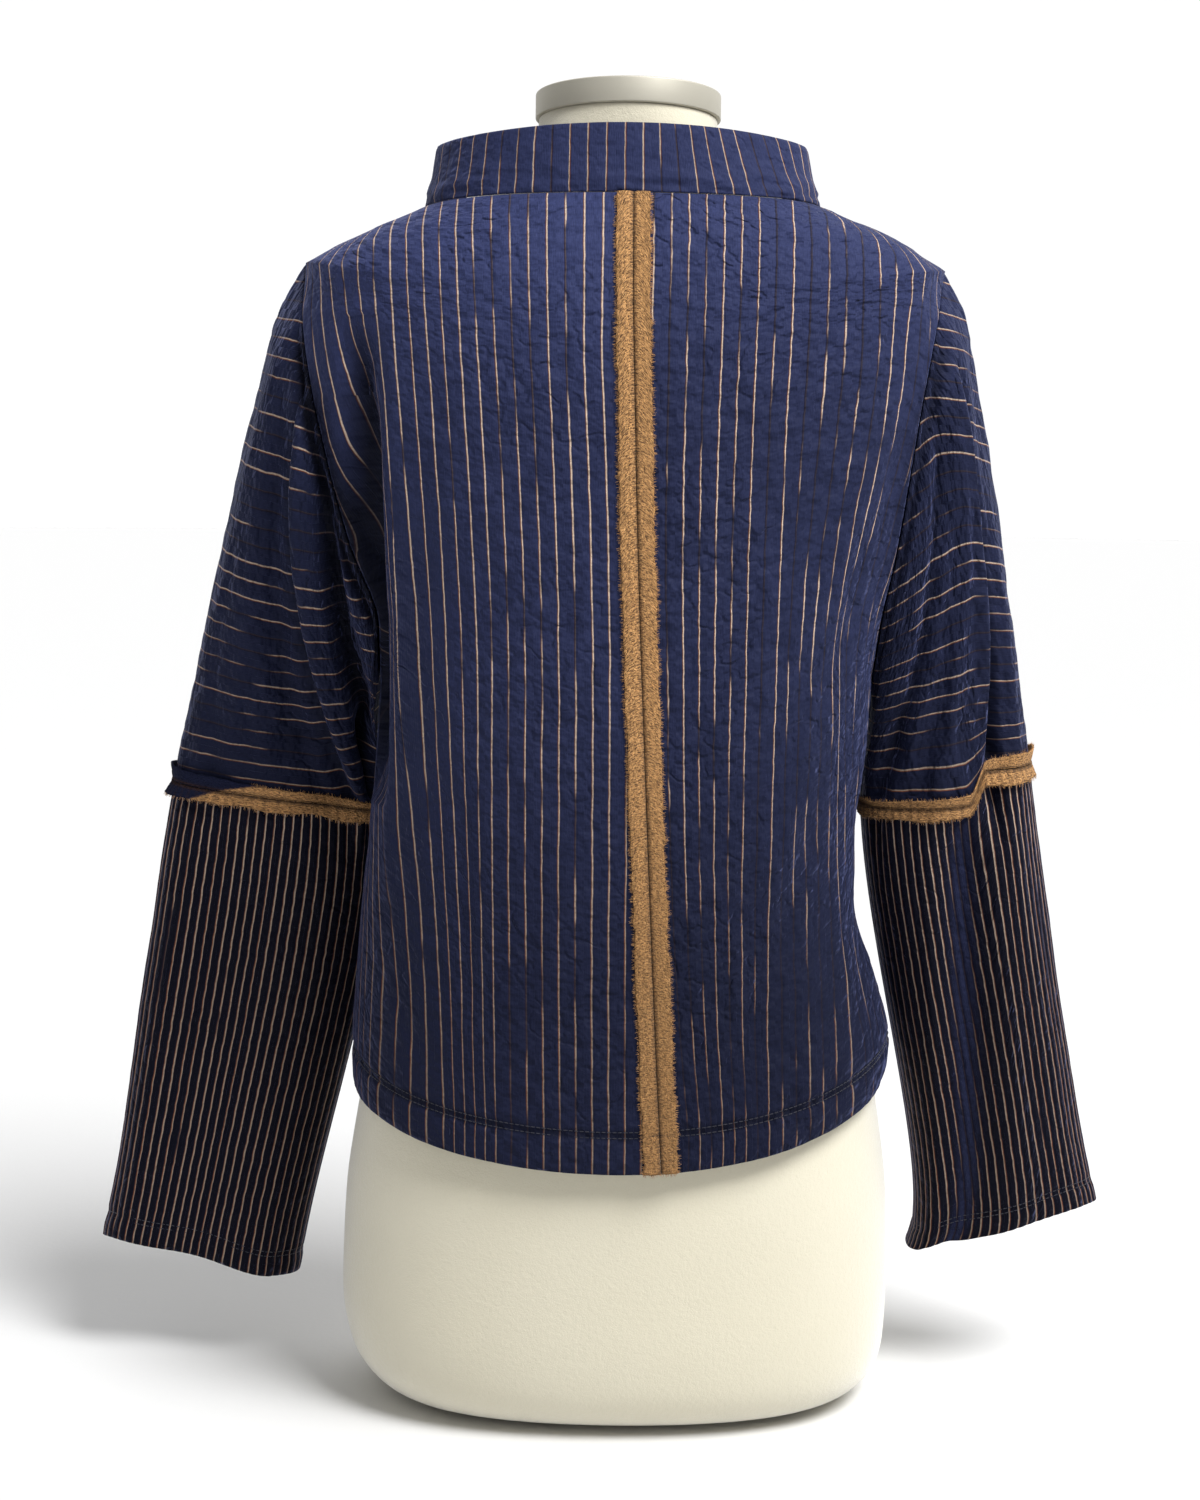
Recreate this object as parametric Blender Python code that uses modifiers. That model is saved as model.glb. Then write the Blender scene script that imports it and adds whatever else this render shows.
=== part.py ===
"""A mock neck top worn by a limbless dress form, built from the pieces that a maker cuts and sews.

Metres, +Z up. The origin is the centre of the form's flat base. The garment's back faces -Y, its front +Y,
and +X is the wearer's right. Cloth pieces are thin closed walls lofted through the tables below.
"""

import math

import bmesh
import bpy
import numpy as np
from mathutils import Vector

# ---------------------------------------------------------------- driving sizes
CLOTH = 0.0016  # thickness of the ribbed double cloth
HEM_CLOTH = 0.0026  # where the hem is turned up
COLLAR_CLOTH = 0.0022
STRIP_CLOTH = 0.0011  # a seam allowance, opened out on the face side
SEAM_GAP = 0.0003  # between two pieces at a seam
STRIP_LIFT = 0.0004  # between a panel's face and the allowance that lies on it
SLEEVE_STRIP_LIFT = 0.0007
SQUARENESS = 0.12  # how much fuller than an ellipse a body section is

HEM_DEPTH = 0.024  # turned-up hem of the body
CUFF_HEM_DEPTH = 0.015
BACK_STRIP_WIDTH = 0.0120  # each allowance of the centre back seam
SLEEVE_STRIP_WIDTH = 0.0088  # each allowance of the seam above the forearm piece
SLEEVE_STRIP_STAND = 0.0022  # how far its free edge stands off the sleeve

CAP_RADIUS = 0.0578
CAP_HEIGHT = 0.0155
CAP_TILT = math.radians(4.8)  # the neck leans forward, so the back of its cap is the higher side
NECK_TOP = (0.0, 0.008, 0.8135)  # centre of the neck's cut top

# One row for each level of the body, from hem to neck seam. The centre back and centre front give y and z,
# the edges x and z. From the underarm to the shoulder tip the edge is the armhole seam: arm_y is how far it
# lies behind and before the side line, and turn the angle at which the section stops there.
BODY_COLUMNS = (
    "back_y back_z front_y front_z left_x left_z right_x right_z arm_y turn"
).split()
BODY_LEVELS = (
    (-0.131, 0.178, 0.125, 0.202, 0.1705, 0.205, 0.1730, 0.215, 0.000, 0),  # hem
    (-0.128, 0.222, 0.127, 0.240, 0.1712, 0.234, 0.1752, 0.238, 0.000, 0),
    (-0.123, 0.272, 0.130, 0.283, 0.1690, 0.276, 0.1655, 0.276, 0.000, 0),
    (-0.119, 0.322, 0.133, 0.328, 0.1652, 0.322, 0.1520, 0.322, 0.000, 0),
    (-0.116, 0.372, 0.135, 0.374, 0.1605, 0.370, 0.1505, 0.370, 0.000, 0),  # waist
    (-0.114, 0.422, 0.137, 0.420, 0.1570, 0.418, 0.1560, 0.418, 0.000, 0),
    (-0.113, 0.467, 0.138, 0.462, 0.1545, 0.460, 0.1590, 0.460, 0.000, 0),  # underarm
    (-0.112, 0.512, 0.138, 0.502, 0.1530, 0.500, 0.1610, 0.498, 0.026, 14),
    (-0.112, 0.559, 0.136, 0.545, 0.1700, 0.552, 0.1690, 0.548, 0.041, 27),
    (-0.111, 0.605, 0.130, 0.586, 0.1835, 0.605, 0.1765, 0.603, 0.048, 34),
    (-0.109, 0.646, 0.121, 0.624, 0.1935, 0.652, 0.1840, 0.652, 0.047, 34),
    (-0.106, 0.680, 0.110, 0.656, 0.1990, 0.690, 0.1915, 0.690, 0.036, 26),
    (-0.101, 0.706, 0.099, 0.684, 0.2005, 0.7235, 0.1985, 0.7225, 0.000, 0),  # shoulder tip
    (-0.094, 0.733, 0.089, 0.709, 0.1700, 0.7393, 0.1640, 0.7437, 0.000, 0),
    (-0.082, 0.762, 0.078, 0.736, 0.1262, 0.7580, 0.1205, 0.7605, 0.000, 0),  # neck seam
)
UNDERARM, TIP, NECK = 6, 12, 14
SIDE_Y = 0.002  # where the side and shoulder seams lie
SIDE = {"left": -1, "right": 1}
SECTION_POWER = 2.4  # of the plain curve that a body section follows closely
SLEEVE_START_GAP = 0.0005
BESIDE_BODY_BELOW = 0.540  # the height under which a sleeve hangs beside the body
CENTRE_SEAM = ((0, 0.0265), (3, 0.0185), (6, 0.0115), (9, 0.0060), (12, 0.0032), (14, 0.0030))

# One row for each level of the dress form. It carries the cloth at the shoulders.
FORM_COLUMNS = "back_y back_z front_y front_z left_x left_z right_x right_z".split()
FORM_LEVELS = (
    (-0.072, 0.000, 0.072, 0.000, 0.1300, 0.000, 0.1300, 0.000),  # flat base
    (-0.095, 0.006, 0.094, 0.006, 0.1480, 0.006, 0.1545, 0.006),
    (-0.108, 0.017, 0.107, 0.017, 0.1620, 0.017, 0.1695, 0.017),
    (-0.1155, 0.036, 0.114, 0.036, 0.1730, 0.036, 0.1765, 0.036),
    (-0.1185, 0.070, 0.116, 0.070, 0.1780, 0.070, 0.1780, 0.070),
    (-0.1190, 0.130, 0.116, 0.130, 0.1757, 0.130, 0.1765, 0.130),
    (-0.1170, 0.190, 0.115, 0.190, 0.1672, 0.190, 0.1690, 0.190),
    (-0.1100, 0.240, 0.111, 0.240, 0.1580, 0.240, 0.1600, 0.240),
    (-0.0960, 0.300, 0.104, 0.300, 0.1390, 0.300, 0.1390, 0.300),
    (-0.0840, 0.360, 0.098, 0.360, 0.1260, 0.360, 0.1260, 0.360),  # waist
    (-0.0860, 0.420, 0.104, 0.420, 0.1300, 0.420, 0.1300, 0.420),
    (-0.0930, 0.480, 0.116, 0.480, 0.1400, 0.480, 0.1400, 0.480),
    (-0.0990, 0.540, 0.126, 0.540, 0.1470, 0.540, 0.1470, 0.540),
    (-0.1020, 0.590, 0.122, 0.580, 0.1570, 0.592, 0.1550, 0.592),
    (-0.1030, 0.638, 0.112, 0.620, 0.1740, 0.640, 0.1690, 0.640),
    (-0.1010, 0.674, 0.102, 0.654, 0.1840, 0.682, 0.1790, 0.682),
    (-0.0970, 0.700, 0.092, 0.682, 0.1835, 0.7150, 0.1805, 0.7150),  # shoulder tip
    (-0.0900, 0.727, 0.083, 0.706, 0.1620, 0.7388, 0.1560, 0.7440),
    (-0.0780, 0.752, 0.073, 0.731, 0.1240, 0.7560, 0.1180, 0.7588),
    (-0.0670, 0.770, 0.066, 0.748, 0.0880, 0.7685, 0.0860, 0.7690),
    (-0.0580, 0.785, 0.063, 0.765, 0.0640, 0.7820, 0.0640, 0.7820),
    (-0.0490, 0.800, 0.061, 0.785, 0.0570, 0.7960, 0.0570, 0.7960),
)
NECK_RADIUS = 0.0555

# One row for each ring of a hanging sleeve, from the elbow seam to the cuff: its centre, half its width and
# depth, and the lean of its plane in degrees, which rises away from the body.
RING_COLUMNS = "x y z half_width half_depth lean".split()
SLEEVE_RINGS = {
    "left": (
        (0.2262, 0.062, 0.3800, 0.0708, 0.031, 7.0),
        (0.2400, 0.060, 0.2750, 0.0745, 0.030, 7.5),
        (0.2607, 0.055, 0.1650, 0.0697, 0.031, 7.5),
        (0.2790, 0.048, 0.0695, 0.0669, 0.032, 7.5),
    ),
    "right": (
        (0.2125, 0.034, 0.3960, 0.0547, 0.044, 4.8),
        (0.2300, 0.035, 0.2835, 0.0572, 0.042, 11.6),
        (0.2512, 0.034, 0.1700, 0.0569, 0.040, 13.0),
        (0.2585, 0.032, 0.1015, 0.0648, 0.036, 13.4),
    ),
}
# How far the seam and the cuff's edge rise from their plane: rows of (angle round the sleeve, rise).
ELBOW_RISE = {
    "left": ((0, 0.0), (180, 0.0), (360, 0.0)),
    "right": ((0, 0.010), (64, 0.011), (84, -0.010), (180, -0.008), (270, 0.0), (360, 0.010)),
}
CUFF_RISE = {
    "left": ((0, 0.001), (45, 0.006), (90, 0.004), (135, -0.004), (180, -0.004), (270, 0.0), (360, 0.001)),
    "right": ((0, 0.001), (60, 0.006), (120, 0.002), (165, -0.003), (200, 0.0), (360, 0.001)),
}
# The share outwards with which the cloth leaves the armhole: rows of (angle round the sleeve, share).
SLEEVE_LEAD = ((0, 0.50), (90, 0.38), (180, 0.12), (270, 0.38), (360, 0.50))
SLEEVE_LEAD_LENGTH = 0.55  # of the way to the elbow seam
SLEEVE_CLEARANCE = 0.0034  # between a sleeve and the body beside it, growing from the underarm down

# The largest folds of the back, as troughs (positive depth) and ridges (negative), each along a line from
# (x0, z0) to (x1, z1). The same rows serve the hidden front, mirrored.
FOLD_COLUMNS = "x0 z0 x1 z1 depth width".split()
BACK_FOLDS = (
    (-0.171, 0.640, -0.158, 0.470, 0.0070, 0.013),  # left, down from the armhole
    (-0.147, 0.640, -0.144, 0.330, -0.0035, 0.014),
    (0.180, 0.640, 0.156, 0.500, 0.0050, 0.012),  # right, under the shoulder blade
    (0.158, 0.640, 0.128, 0.520, -0.0035, 0.014),
    (0.150, 0.480, 0.126, 0.330, 0.0035, 0.016),
)
FRONT_FOLDS = (
    (-0.168, 0.630, -0.120, 0.520, 0.0045, 0.014),
    (0.168, 0.630, 0.120, 0.520, 0.0045, 0.014),
    (-0.120, 0.430, -0.110, 0.250, -0.0040, 0.020),
    (0.115, 0.430, 0.105, 0.250, -0.0040, 0.020),
)
# The largest folds of a sleeve, each along a line over the tube: round is the angle from its outer line
# towards the back, in degrees, and along runs from 0 at the armhole to 1 at the elbow seam and 2 at the cuff.
SLEEVE_FOLD_COLUMNS = "round0 along0 round1 along1 depth width".split()
SLEEVE_FOLDS = {
    "left": (
        (0, 0.04, 0, 0.18, -0.0120, 42),  # the crown, just below the shoulder tip
        (40, 0.10, 118, 0.97, 0.0075, 14),
        (66, 0.06, 150, 0.97, -0.0065, 17),
        (74, 1.06, 84, 2.00, 0.0050, 18),
        (118, 1.06, 122, 2.00, -0.0040, 16),
        (285, 0.15, 290, 0.92, 0.0060, 18),
    ),
    "right": (
        (0, 0.04, 0, 0.18, -0.0090, 42),
        (8, 0.22, 62, 0.97, 0.0060, 13),
        (36, 0.14, 96, 0.97, -0.0060, 16),
        (84, 1.04, 128, 2.00, 0.0080, 13),
        (56, 1.04, 92, 2.00, -0.0050, 15),
        (285, 0.15, 290, 0.92, 0.0060, 18),
    ),
}

# One row for each level of the collar, from the neck seam up.
COLLAR_COLUMNS = "back_y back_z front_y front_z left_x left_z right_x right_z square".split()
COLLAR_LEVELS = (
    (-0.0820, 0.7624, 0.0780, 0.7364, 0.1262, 0.7584, 0.1205, 0.7609, 0.12),
    (-0.0815, 0.7720, 0.0790, 0.7480, 0.1243, 0.7680, 0.1180, 0.7700, 0.09),
    (-0.0805, 0.7830, 0.0790, 0.7600, 0.1218, 0.7780, 0.1150, 0.7795, 0.04),
    (-0.0795, 0.7935, 0.0780, 0.7710, 0.1203, 0.7875, 0.1132, 0.7888, 0.00),
    (-0.0785, 0.8030, 0.0765, 0.7810, 0.1188, 0.7955, 0.1118, 0.7965, -0.03),
)

# ---------------------------------------------------------------- resolution of the walls
SIDE_ROWS, ARMHOLE_ROWS, SHOULDER_ROWS = 8, 18, 3
BACK_COLUMNS, FRONT_COLUMNS = 11, 16
UPPER_ROWS, LOWER_ROWS = 11, 8
FORM_ROWS, FORM_COLUMNS_ROUND = 30, 30

MATERIALS = {  # colour, roughness, metallic
    "navy_cloth": ((0.027, 0.035, 0.095), 0.80, 0.0),
    "forearm_cloth": ((0.018, 0.019, 0.045), 0.82, 0.0),
    "copper_reverse": ((0.43, 0.22, 0.075), 0.95, 0.0),
    "cream_jersey": ((0.79, 0.75, 0.65), 0.90, 0.0),
    "satin_metal": ((0.42, 0.40, 0.36), 0.38, 1.0),
}


# ---------------------------------------------------------------- curves through the tables
def smooth_column(places, values, at):
    """A monotone cubic through (places, values), read at the places asked for: it never overshoots a row."""
    places, values, at = (np.asarray(a, float) for a in (places, values, at))
    step = np.diff(places)
    slope = np.diff(values) / step
    tangent = np.empty_like(values)
    tangent[0], tangent[-1] = slope[0], slope[-1]
    if len(values) > 2:
        before, after = slope[:-1], slope[1:]
        w_before, w_after = 2 * step[1:] + step[:-1], step[1:] + 2 * step[:-1]
        same_way = before * after > 0
        safe_before = np.where(same_way, before, 1.0)
        safe_after = np.where(same_way, after, 1.0)
        mean = (w_before + w_after) / (w_before / safe_before + w_after / safe_after)
        tangent[1:-1] = np.where(same_way, mean, 0.0)
    i = np.clip(np.searchsorted(places, at, side="right") - 1, 0, len(step) - 1)
    t = (at - places[i]) / step[i]
    return (
        values[i] * (1 + 2 * t) * (1 - t) ** 2
        + tangent[i] * step[i] * t * (1 - t) ** 2
        + values[i + 1] * t * t * (3 - 2 * t)
        + tangent[i + 1] * step[i] * t * t * (t - 1)
    )


def column(table, names, name):
    return np.array([row[names.index(name)] for row in table], float)


def body_column(name, level):
    """A column of the body's table at any level. Edge columns turn a corner at the underarm and the tip."""
    values = column(BODY_LEVELS, BODY_COLUMNS, name)
    places = np.arange(len(values), dtype=float)
    if name.startswith(("back", "front")):
        return smooth_column(places, values, level)
    level = np.asarray(level, float)
    result = np.empty_like(level)
    for first, last in ((0, UNDERARM), (UNDERARM, TIP), (TIP, NECK)):
        part = (level >= first) & (level <= last)
        rows = slice(first, last + 1)
        result[part] = smooth_column(places[rows], values[rows], level[part])
    return result


def full_cos(angle, square=SQUARENESS):
    return np.cos(angle) * (1 + square * np.sin(angle) ** 2)


def full_sin(angle, square=SQUARENESS):
    return np.sin(angle) * (1 + square * np.cos(angle) ** 2)


def section(angle, turn, edge, centre):
    """A quarter of a body section, from its edge (angle = turn) to the centre (angle = a right angle)."""
    share_x = full_cos(angle) / full_cos(turn)
    share_y = (1 - full_sin(angle)) / (1 - full_sin(turn))
    share_z = (np.cos(angle) / np.cos(turn)) ** 2
    x = edge[0] * share_x
    y = centre[1] + (edge[1] - centre[1]) * share_y
    z = centre[2] + (edge[2] - centre[2]) * share_z
    return np.stack([x, y, z], axis=-1)


def line_falloff(x, z, x0, z0, x1, z1, width):
    """1 on the line from (x0, z0) to (x1, z1), fading to 0 about two widths away, and softly at its ends."""
    dx, dz = x1 - x0, z1 - z0
    along = ((x - x0) * dx + (z - z0) * dz) / (dx * dx + dz * dz)
    near = np.clip(along, 0, 1)
    away = np.hypot(x - x0 - near * dx, z - z0 - near * dz)
    ends = np.clip(4 * near * (1 - near), 0, 1) ** 0.5
    return np.exp(-((away / width) ** 2)) * ends


# ---------------------------------------------------------------- the body of the garment
def body_point(level, place, front=False):
    """A point of the body's outer face. place runs from 0 at the right edge to 1 at the centre and 2 at the left."""
    level, place = np.broadcast_arrays(np.asarray(level, float), np.asarray(place, float))
    on_right = place <= 1
    turn = np.radians(body_column("turn", level))
    share = np.where(on_right, place, 2 - place)
    angle = turn + (math.pi / 2 - turn) * share
    x = np.where(on_right, body_column("right_x", level), -body_column("left_x", level))
    z = np.where(on_right, body_column("right_z", level), body_column("left_z", level))
    arm_y = body_column("arm_y", level)
    face = "front" if front else "back"
    edge = (x, SIDE_Y + (arm_y if front else -arm_y), z)
    centre = (0, body_column(face + "_y", level), body_column(face + "_z", level))
    points = section(angle, turn, edge, centre)
    folds = FRONT_FOLDS if front else BACK_FOLDS
    inwards = -1 if front else 1
    inside_edge = np.clip(share * 6, 0, 1)  # folds die out at the seams, so that the pieces still meet
    for x0, z0, x1, z1, depth, width in folds:
        amount = depth * line_falloff(points[..., 0], points[..., 2], x0, z0, x1, z1, width)
        points[..., 1] += inwards * amount * inside_edge
    return points


def body_normal(level, place, front=False):
    """The outward direction there, from small steps along the face. Both sides of a seam get the same one."""
    step = 1e-3
    low, high = np.clip(level - step, 0, NECK), np.clip(level + step, 0, NECK)
    up = body_point(high, place, front) - body_point(low, place, front)
    left, right = np.clip(place - step, 0, 2), np.clip(place + step, 0, 2)
    across = body_point(level, right, front) - body_point(level, left, front)
    normal = np.cross(up, across) * (-1 if front else 1)
    return normal / np.linalg.norm(normal, axis=-1, keepdims=True)


def centre_seam_place(level, offset=0.0):
    """The place of the centre back seam, which drifts to the wearer's right, or of a line beside it."""
    seam = smooth_column(*np.array(CENTRE_SEAM, float).T, level) + offset
    share = np.linspace(0, 2, 801)
    x = body_point(np.asarray(level, float)[..., None], share)[..., 0]
    return np.array([np.interp(-s, -row, share) for s, row in zip(np.ravel(seam), x.reshape(-1, 801))])


def level_rows():
    side = np.linspace(0, UNDERARM, SIDE_ROWS + 1)
    arm = np.linspace(UNDERARM, TIP, ARMHOLE_ROWS + 1)
    shoulder = np.linspace(TIP, NECK, SHOULDER_ROWS + 1)
    return np.concatenate([side[:-1], arm[:-1], shoulder])


def seam_inset(level, front=False):
    """How far, as a share of the section's quarter, a piece stops short of the edge seam."""
    step = 1e-3
    move = body_point(level, step, front) - body_point(level, 0.0, front)
    return SEAM_GAP / 2 * step / np.linalg.norm(move, axis=-1)


def hem_thickness(height_above_hem, hem_depth, thick=HEM_CLOTH):
    return np.where(height_above_hem < hem_depth, thick, CLOTH)


def back_places(levels, side):
    """Columns of one back panel: the seam allowance's own columns first, then evenly to the side."""
    allowance = (SEAM_GAP / 2, BACK_STRIP_WIDTH / 2, BACK_STRIP_WIDTH)
    near = [centre_seam_place(levels, side * offset) for offset in allowance]
    inset = seam_inset(levels)
    edge = inset if side > 0 else 2 - inset
    share = np.linspace(0, 1, BACK_COLUMNS - 1)[1:]
    rest = [near[-1] + (edge - near[-1]) * s for s in share]
    return np.stack(near + rest, axis=1)


# ---------------------------------------------------------------- closed walls
def mesh_object(name, points, faces, material):
    mesh = bpy.data.meshes.new(name)
    mesh.from_pydata([tuple(p) for p in points], [], [tuple(f) for f in faces])
    shape = bmesh.new()
    shape.from_mesh(mesh)
    bmesh.ops.recalc_face_normals(shape, faces=shape.faces)
    shape.to_mesh(mesh)
    shape.free()
    mesh.materials.append(bpy.data.materials[material])
    mesh.shade_smooth()
    mesh.set_sharp_from_angle(angle=math.radians(50))
    obj = bpy.data.objects.new(name, mesh)
    PARTS.objects.link(obj)
    return obj


def wall(name, outer, inner, material, round_tube=False):
    """A closed wall between two grids of points: their faces, and a rim along each open edge."""
    rows, columns = outer.shape[:2]
    count = rows * columns
    index = np.arange(count).reshape(rows, columns)
    if round_tube:
        index = np.concatenate([index, index[:, :1]], axis=1)
    quads = np.stack([index[:-1, :-1], index[:-1, 1:], index[1:, 1:], index[1:, :-1]], axis=-1)
    faces = [quads.reshape(-1, 4), quads.reshape(-1, 4)[:, ::-1] + count]
    borders = [index[0], index[-1][::-1]]
    if not round_tube:
        borders += [index[::-1, 0], index[:, -1]]
    for border in borders:
        rim = np.stack([border[1:], border[:-1], border[:-1] + count, border[1:] + count], axis=-1)
        faces.append(rim)
    points = np.concatenate([outer.reshape(-1, 3), inner.reshape(-1, 3)])
    return mesh_object(name, points, np.concatenate(faces).tolist(), material)


def body_panel(name, places, levels, front=False):
    level_grid = np.repeat(levels[:, None], places.shape[1], axis=1)
    outer = body_point(level_grid, places, front)
    normal = body_normal(level_grid, places, front)
    above_hem = outer[..., 2] - outer[:1, :, 2]
    inner = outer - normal * hem_thickness(above_hem, HEM_DEPTH)[..., None]
    return wall(name, outer, inner, "navy_cloth")


def make_back_and_front():
    levels = level_rows()
    body_panel("back_left", back_places(levels, -1), levels)
    body_panel("back_right", back_places(levels, 1), levels)
    inset = seam_inset(levels, front=True)[:, None]
    share = np.linspace(0, 1, FRONT_COLUMNS + 1)[None, :]
    body_panel("front", inset + (2 - 2 * inset) * share, levels, front=True)


def make_centre_back_strips():
    """The two allowances of the centre back seam, opened out on the face with their copper side showing."""
    levels = level_rows()
    for name, side in (("centre_back_strip_left", -1), ("centre_back_strip_right", 1)):
        places = back_places(levels, side)[:, :3]
        level_grid = np.repeat(levels[:, None], places.shape[1], axis=1)
        face = body_point(level_grid, places)
        normal = body_normal(level_grid, places)
        wall(name, face + normal * (STRIP_LIFT + STRIP_CLOTH), face + normal * STRIP_LIFT, "copper_reverse")


# ---------------------------------------------------------------- collar
def closed_section(table, names, level, angle):
    """A whole section round the body: angle 0 at the wearer's right, a right angle at the back."""
    places = np.arange(len(table), dtype=float)
    value = {n: smooth_column(places, column(table, names, n), level) for n in names}
    right = np.cos(angle) >= 0
    back = np.sin(angle) >= 0
    edge_x = np.where(right, value["right_x"], value["left_x"])
    edge_z = np.where(right, value["right_z"], value["left_z"])
    centre_y = np.where(back, value["back_y"], value["front_y"])
    centre_z = np.where(back, value["back_z"], value["front_z"])
    square = value.get("square", SQUARENESS)
    share_z = np.cos(angle) ** 2
    x = edge_x * full_cos(angle, square)
    y = SIDE_Y + (centre_y - SIDE_Y) * np.abs(full_sin(angle, square))
    return np.stack([x, y, centre_z + (edge_z - centre_z) * share_z], axis=-1)


def make_collar():
    """A band that stands on the neck seam, with its columns in line with those of the body below it."""
    top = np.array([float(NECK)])
    left, right = back_places(top, -1)[0], back_places(top, 1)[0]
    front = np.linspace(0, 2, FRONT_COLUMNS + 1)
    back_share = np.concatenate([right[::-1], left])
    back_share = back_share[np.concatenate([[True], np.diff(back_share) > 0.004])]
    angles = np.concatenate([back_share * math.pi / 2, -front[1:-1][::-1] * math.pi / 2 + 2 * math.pi])
    levels = np.linspace(0, len(COLLAR_LEVELS) - 1, 5)
    level_grid, angle_grid = np.meshgrid(levels, angles, indexing="ij")
    outer = closed_section(COLLAR_LEVELS, COLLAR_COLUMNS, level_grid, angle_grid)
    toward = np.stack([np.cos(angle_grid) * 0.078, -np.sin(angle_grid) * 0.12, 0 * angle_grid], axis=-1)
    toward /= np.linalg.norm(toward, axis=-1, keepdims=True)
    wall("collar", outer, outer - toward * COLLAR_CLOTH, "navy_cloth", round_tube=True)


# ---------------------------------------------------------------- sleeves
def rise_at(table, angle):
    places, values = np.array(table, float).T
    return smooth_column(places, values, np.degrees(angle) % 360)


def sleeve_ring(name, number, angle):
    """A ring of the hanging sleeve. The angle is 0 at its outer line and a right angle at its back."""
    x, y, z, half_width, half_depth, lean = SLEEVE_RINGS[name][number]
    across = half_width * full_cos(angle)
    rise = across * math.sin(math.radians(lean))
    if number == 0:
        rise = rise + rise_at(ELBOW_RISE[name], angle)
    elif number == 3:
        rise = rise + rise_at(CUFF_RISE[name], angle)
    out = x + across * math.cos(math.radians(lean))
    return np.stack([SIDE[name] * out, y - half_depth * full_sin(angle), z + rise], axis=-1)


def forearm_point(name, angle, place):
    """Below the elbow seam: the cubic through the four rings, which it meets at the places 0, 1, 2 and 3."""
    total = 0
    for number in range(4):
        others = [other for other in range(4) if other != number]
        weight = np.prod([(place - other) / (number - other) for other in others], axis=0)
        total = total + sleeve_ring(name, number, angle) * weight[..., None]
    return total


def armhole(name):
    """The armhole seam as a closed line that starts at the shoulder tip and goes down the back first."""
    down = np.linspace(TIP, UNDERARM, ARMHOLE_ROWS + 1)
    place = 0.0 if SIDE[name] > 0 else 2.0
    back = body_point(down, place)
    front = body_point(down[::-1], place, front=True)
    return np.concatenate([back[:-1], front[:-1]])


def body_side(name, points):
    """Half the body's width where a point beside it lies."""
    levels = np.linspace(0, TIP, 49)
    edge_z = body_column(name + "_z", levels)
    edge_x, arm_y, turn, back_y, front_y = (
        np.interp(points[..., 2], edge_z, body_column(column_name, levels))
        for column_name in (name + "_x", "arm_y", "turn", "back_y", "front_y")
    )
    turn = np.radians(turn)
    depth = np.where(points[..., 1] > SIDE_Y, front_y - SIDE_Y, SIDE_Y - back_y)
    inwards = (depth - np.abs(points[..., 1] - SIDE_Y)) / (depth - arm_y)
    share = np.clip(1 - inwards * (1 - full_sin(turn)), 0, 1)
    half_width = edge_x / full_cos(turn) * (1 - share**SECTION_POWER) ** (1 / SECTION_POWER)
    return np.minimum(half_width, edge_x)


def sleeve_point(name, column_number, along):
    """A point of the sleeve's outer face. along is 0 at the armhole, 1 at the elbow seam and 2 at the cuff."""
    side = SIDE[name]
    start_line = armhole(name)
    column_number, along = np.broadcast_arrays(np.asarray(column_number), np.asarray(along, float))
    angle = 2 * math.pi * column_number / len(start_line)
    start = start_line[column_number % len(start_line)] + np.array([side * SLEEVE_START_GAP, 0, 0])
    elbow = forearm_point(name, angle, np.zeros_like(angle))
    arrive = forearm_point(name, angle, np.full_like(angle, 0.02)) - elbow
    reach = np.linalg.norm(elbow - start, axis=-1, keepdims=True)
    arrive *= reach / np.linalg.norm(arrive, axis=-1, keepdims=True)
    out = rise_at(SLEEVE_LEAD, angle)
    lead = np.stack([side * out, 0 * out, -np.sqrt(1 - out * out)], axis=-1)
    lead *= reach * SLEEVE_LEAD_LENGTH
    t = np.clip(along, 0, 1)[..., None]
    upper = (
        start * (1 + 2 * t) * (1 - t) ** 2
        + lead * t * (1 - t) ** 2
        + elbow * t * t * (3 - 2 * t)
        + arrive * t * t * (t - 1)
    )
    lower = forearm_point(name, angle, 3 * np.clip(along - 1, 0, 1))
    points = np.where((along <= 1)[..., None], upper, lower) + sleeve_folds(name, angle, along)
    beside = points[..., 2] < BESIDE_BODY_BELOW
    clear = np.clip(along / 0.25, 0, 1) * SLEEVE_CLEARANCE + SLEEVE_START_GAP
    least = np.where(beside & (along > 0), body_side(name, points) + clear, 0)
    points[..., 0] = side * np.maximum(side * points[..., 0], least)
    return points


def sleeve_folds(name, angle, along):
    """Soft troughs and ridges along the tube, pushed in or out across it."""
    degrees = np.degrees(angle) % 360
    push = np.zeros_like(degrees)
    for round0, along0, round1, along1, depth, width in SLEEVE_FOLDS[name]:
        share = np.clip((along - along0) / (along1 - along0), 0, 1)
        away = (degrees - (round0 + (round1 - round0) * share) + 180) % 360 - 180
        fade_in = np.clip((along - along0) / 0.25 + 0.5, 0, 1)
        fade_out = np.clip((along1 - along) / 0.15 + 1.0, 0, 1)
        push += -depth * np.exp(-((away / width) ** 2)) * fade_in * fade_out
    push *= np.clip(along / 0.12, 0, 1)
    return push[..., None] * np.stack([SIDE[name] * 0.5 * np.cos(angle), -np.sin(angle), 0 * angle], axis=-1)


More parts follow.
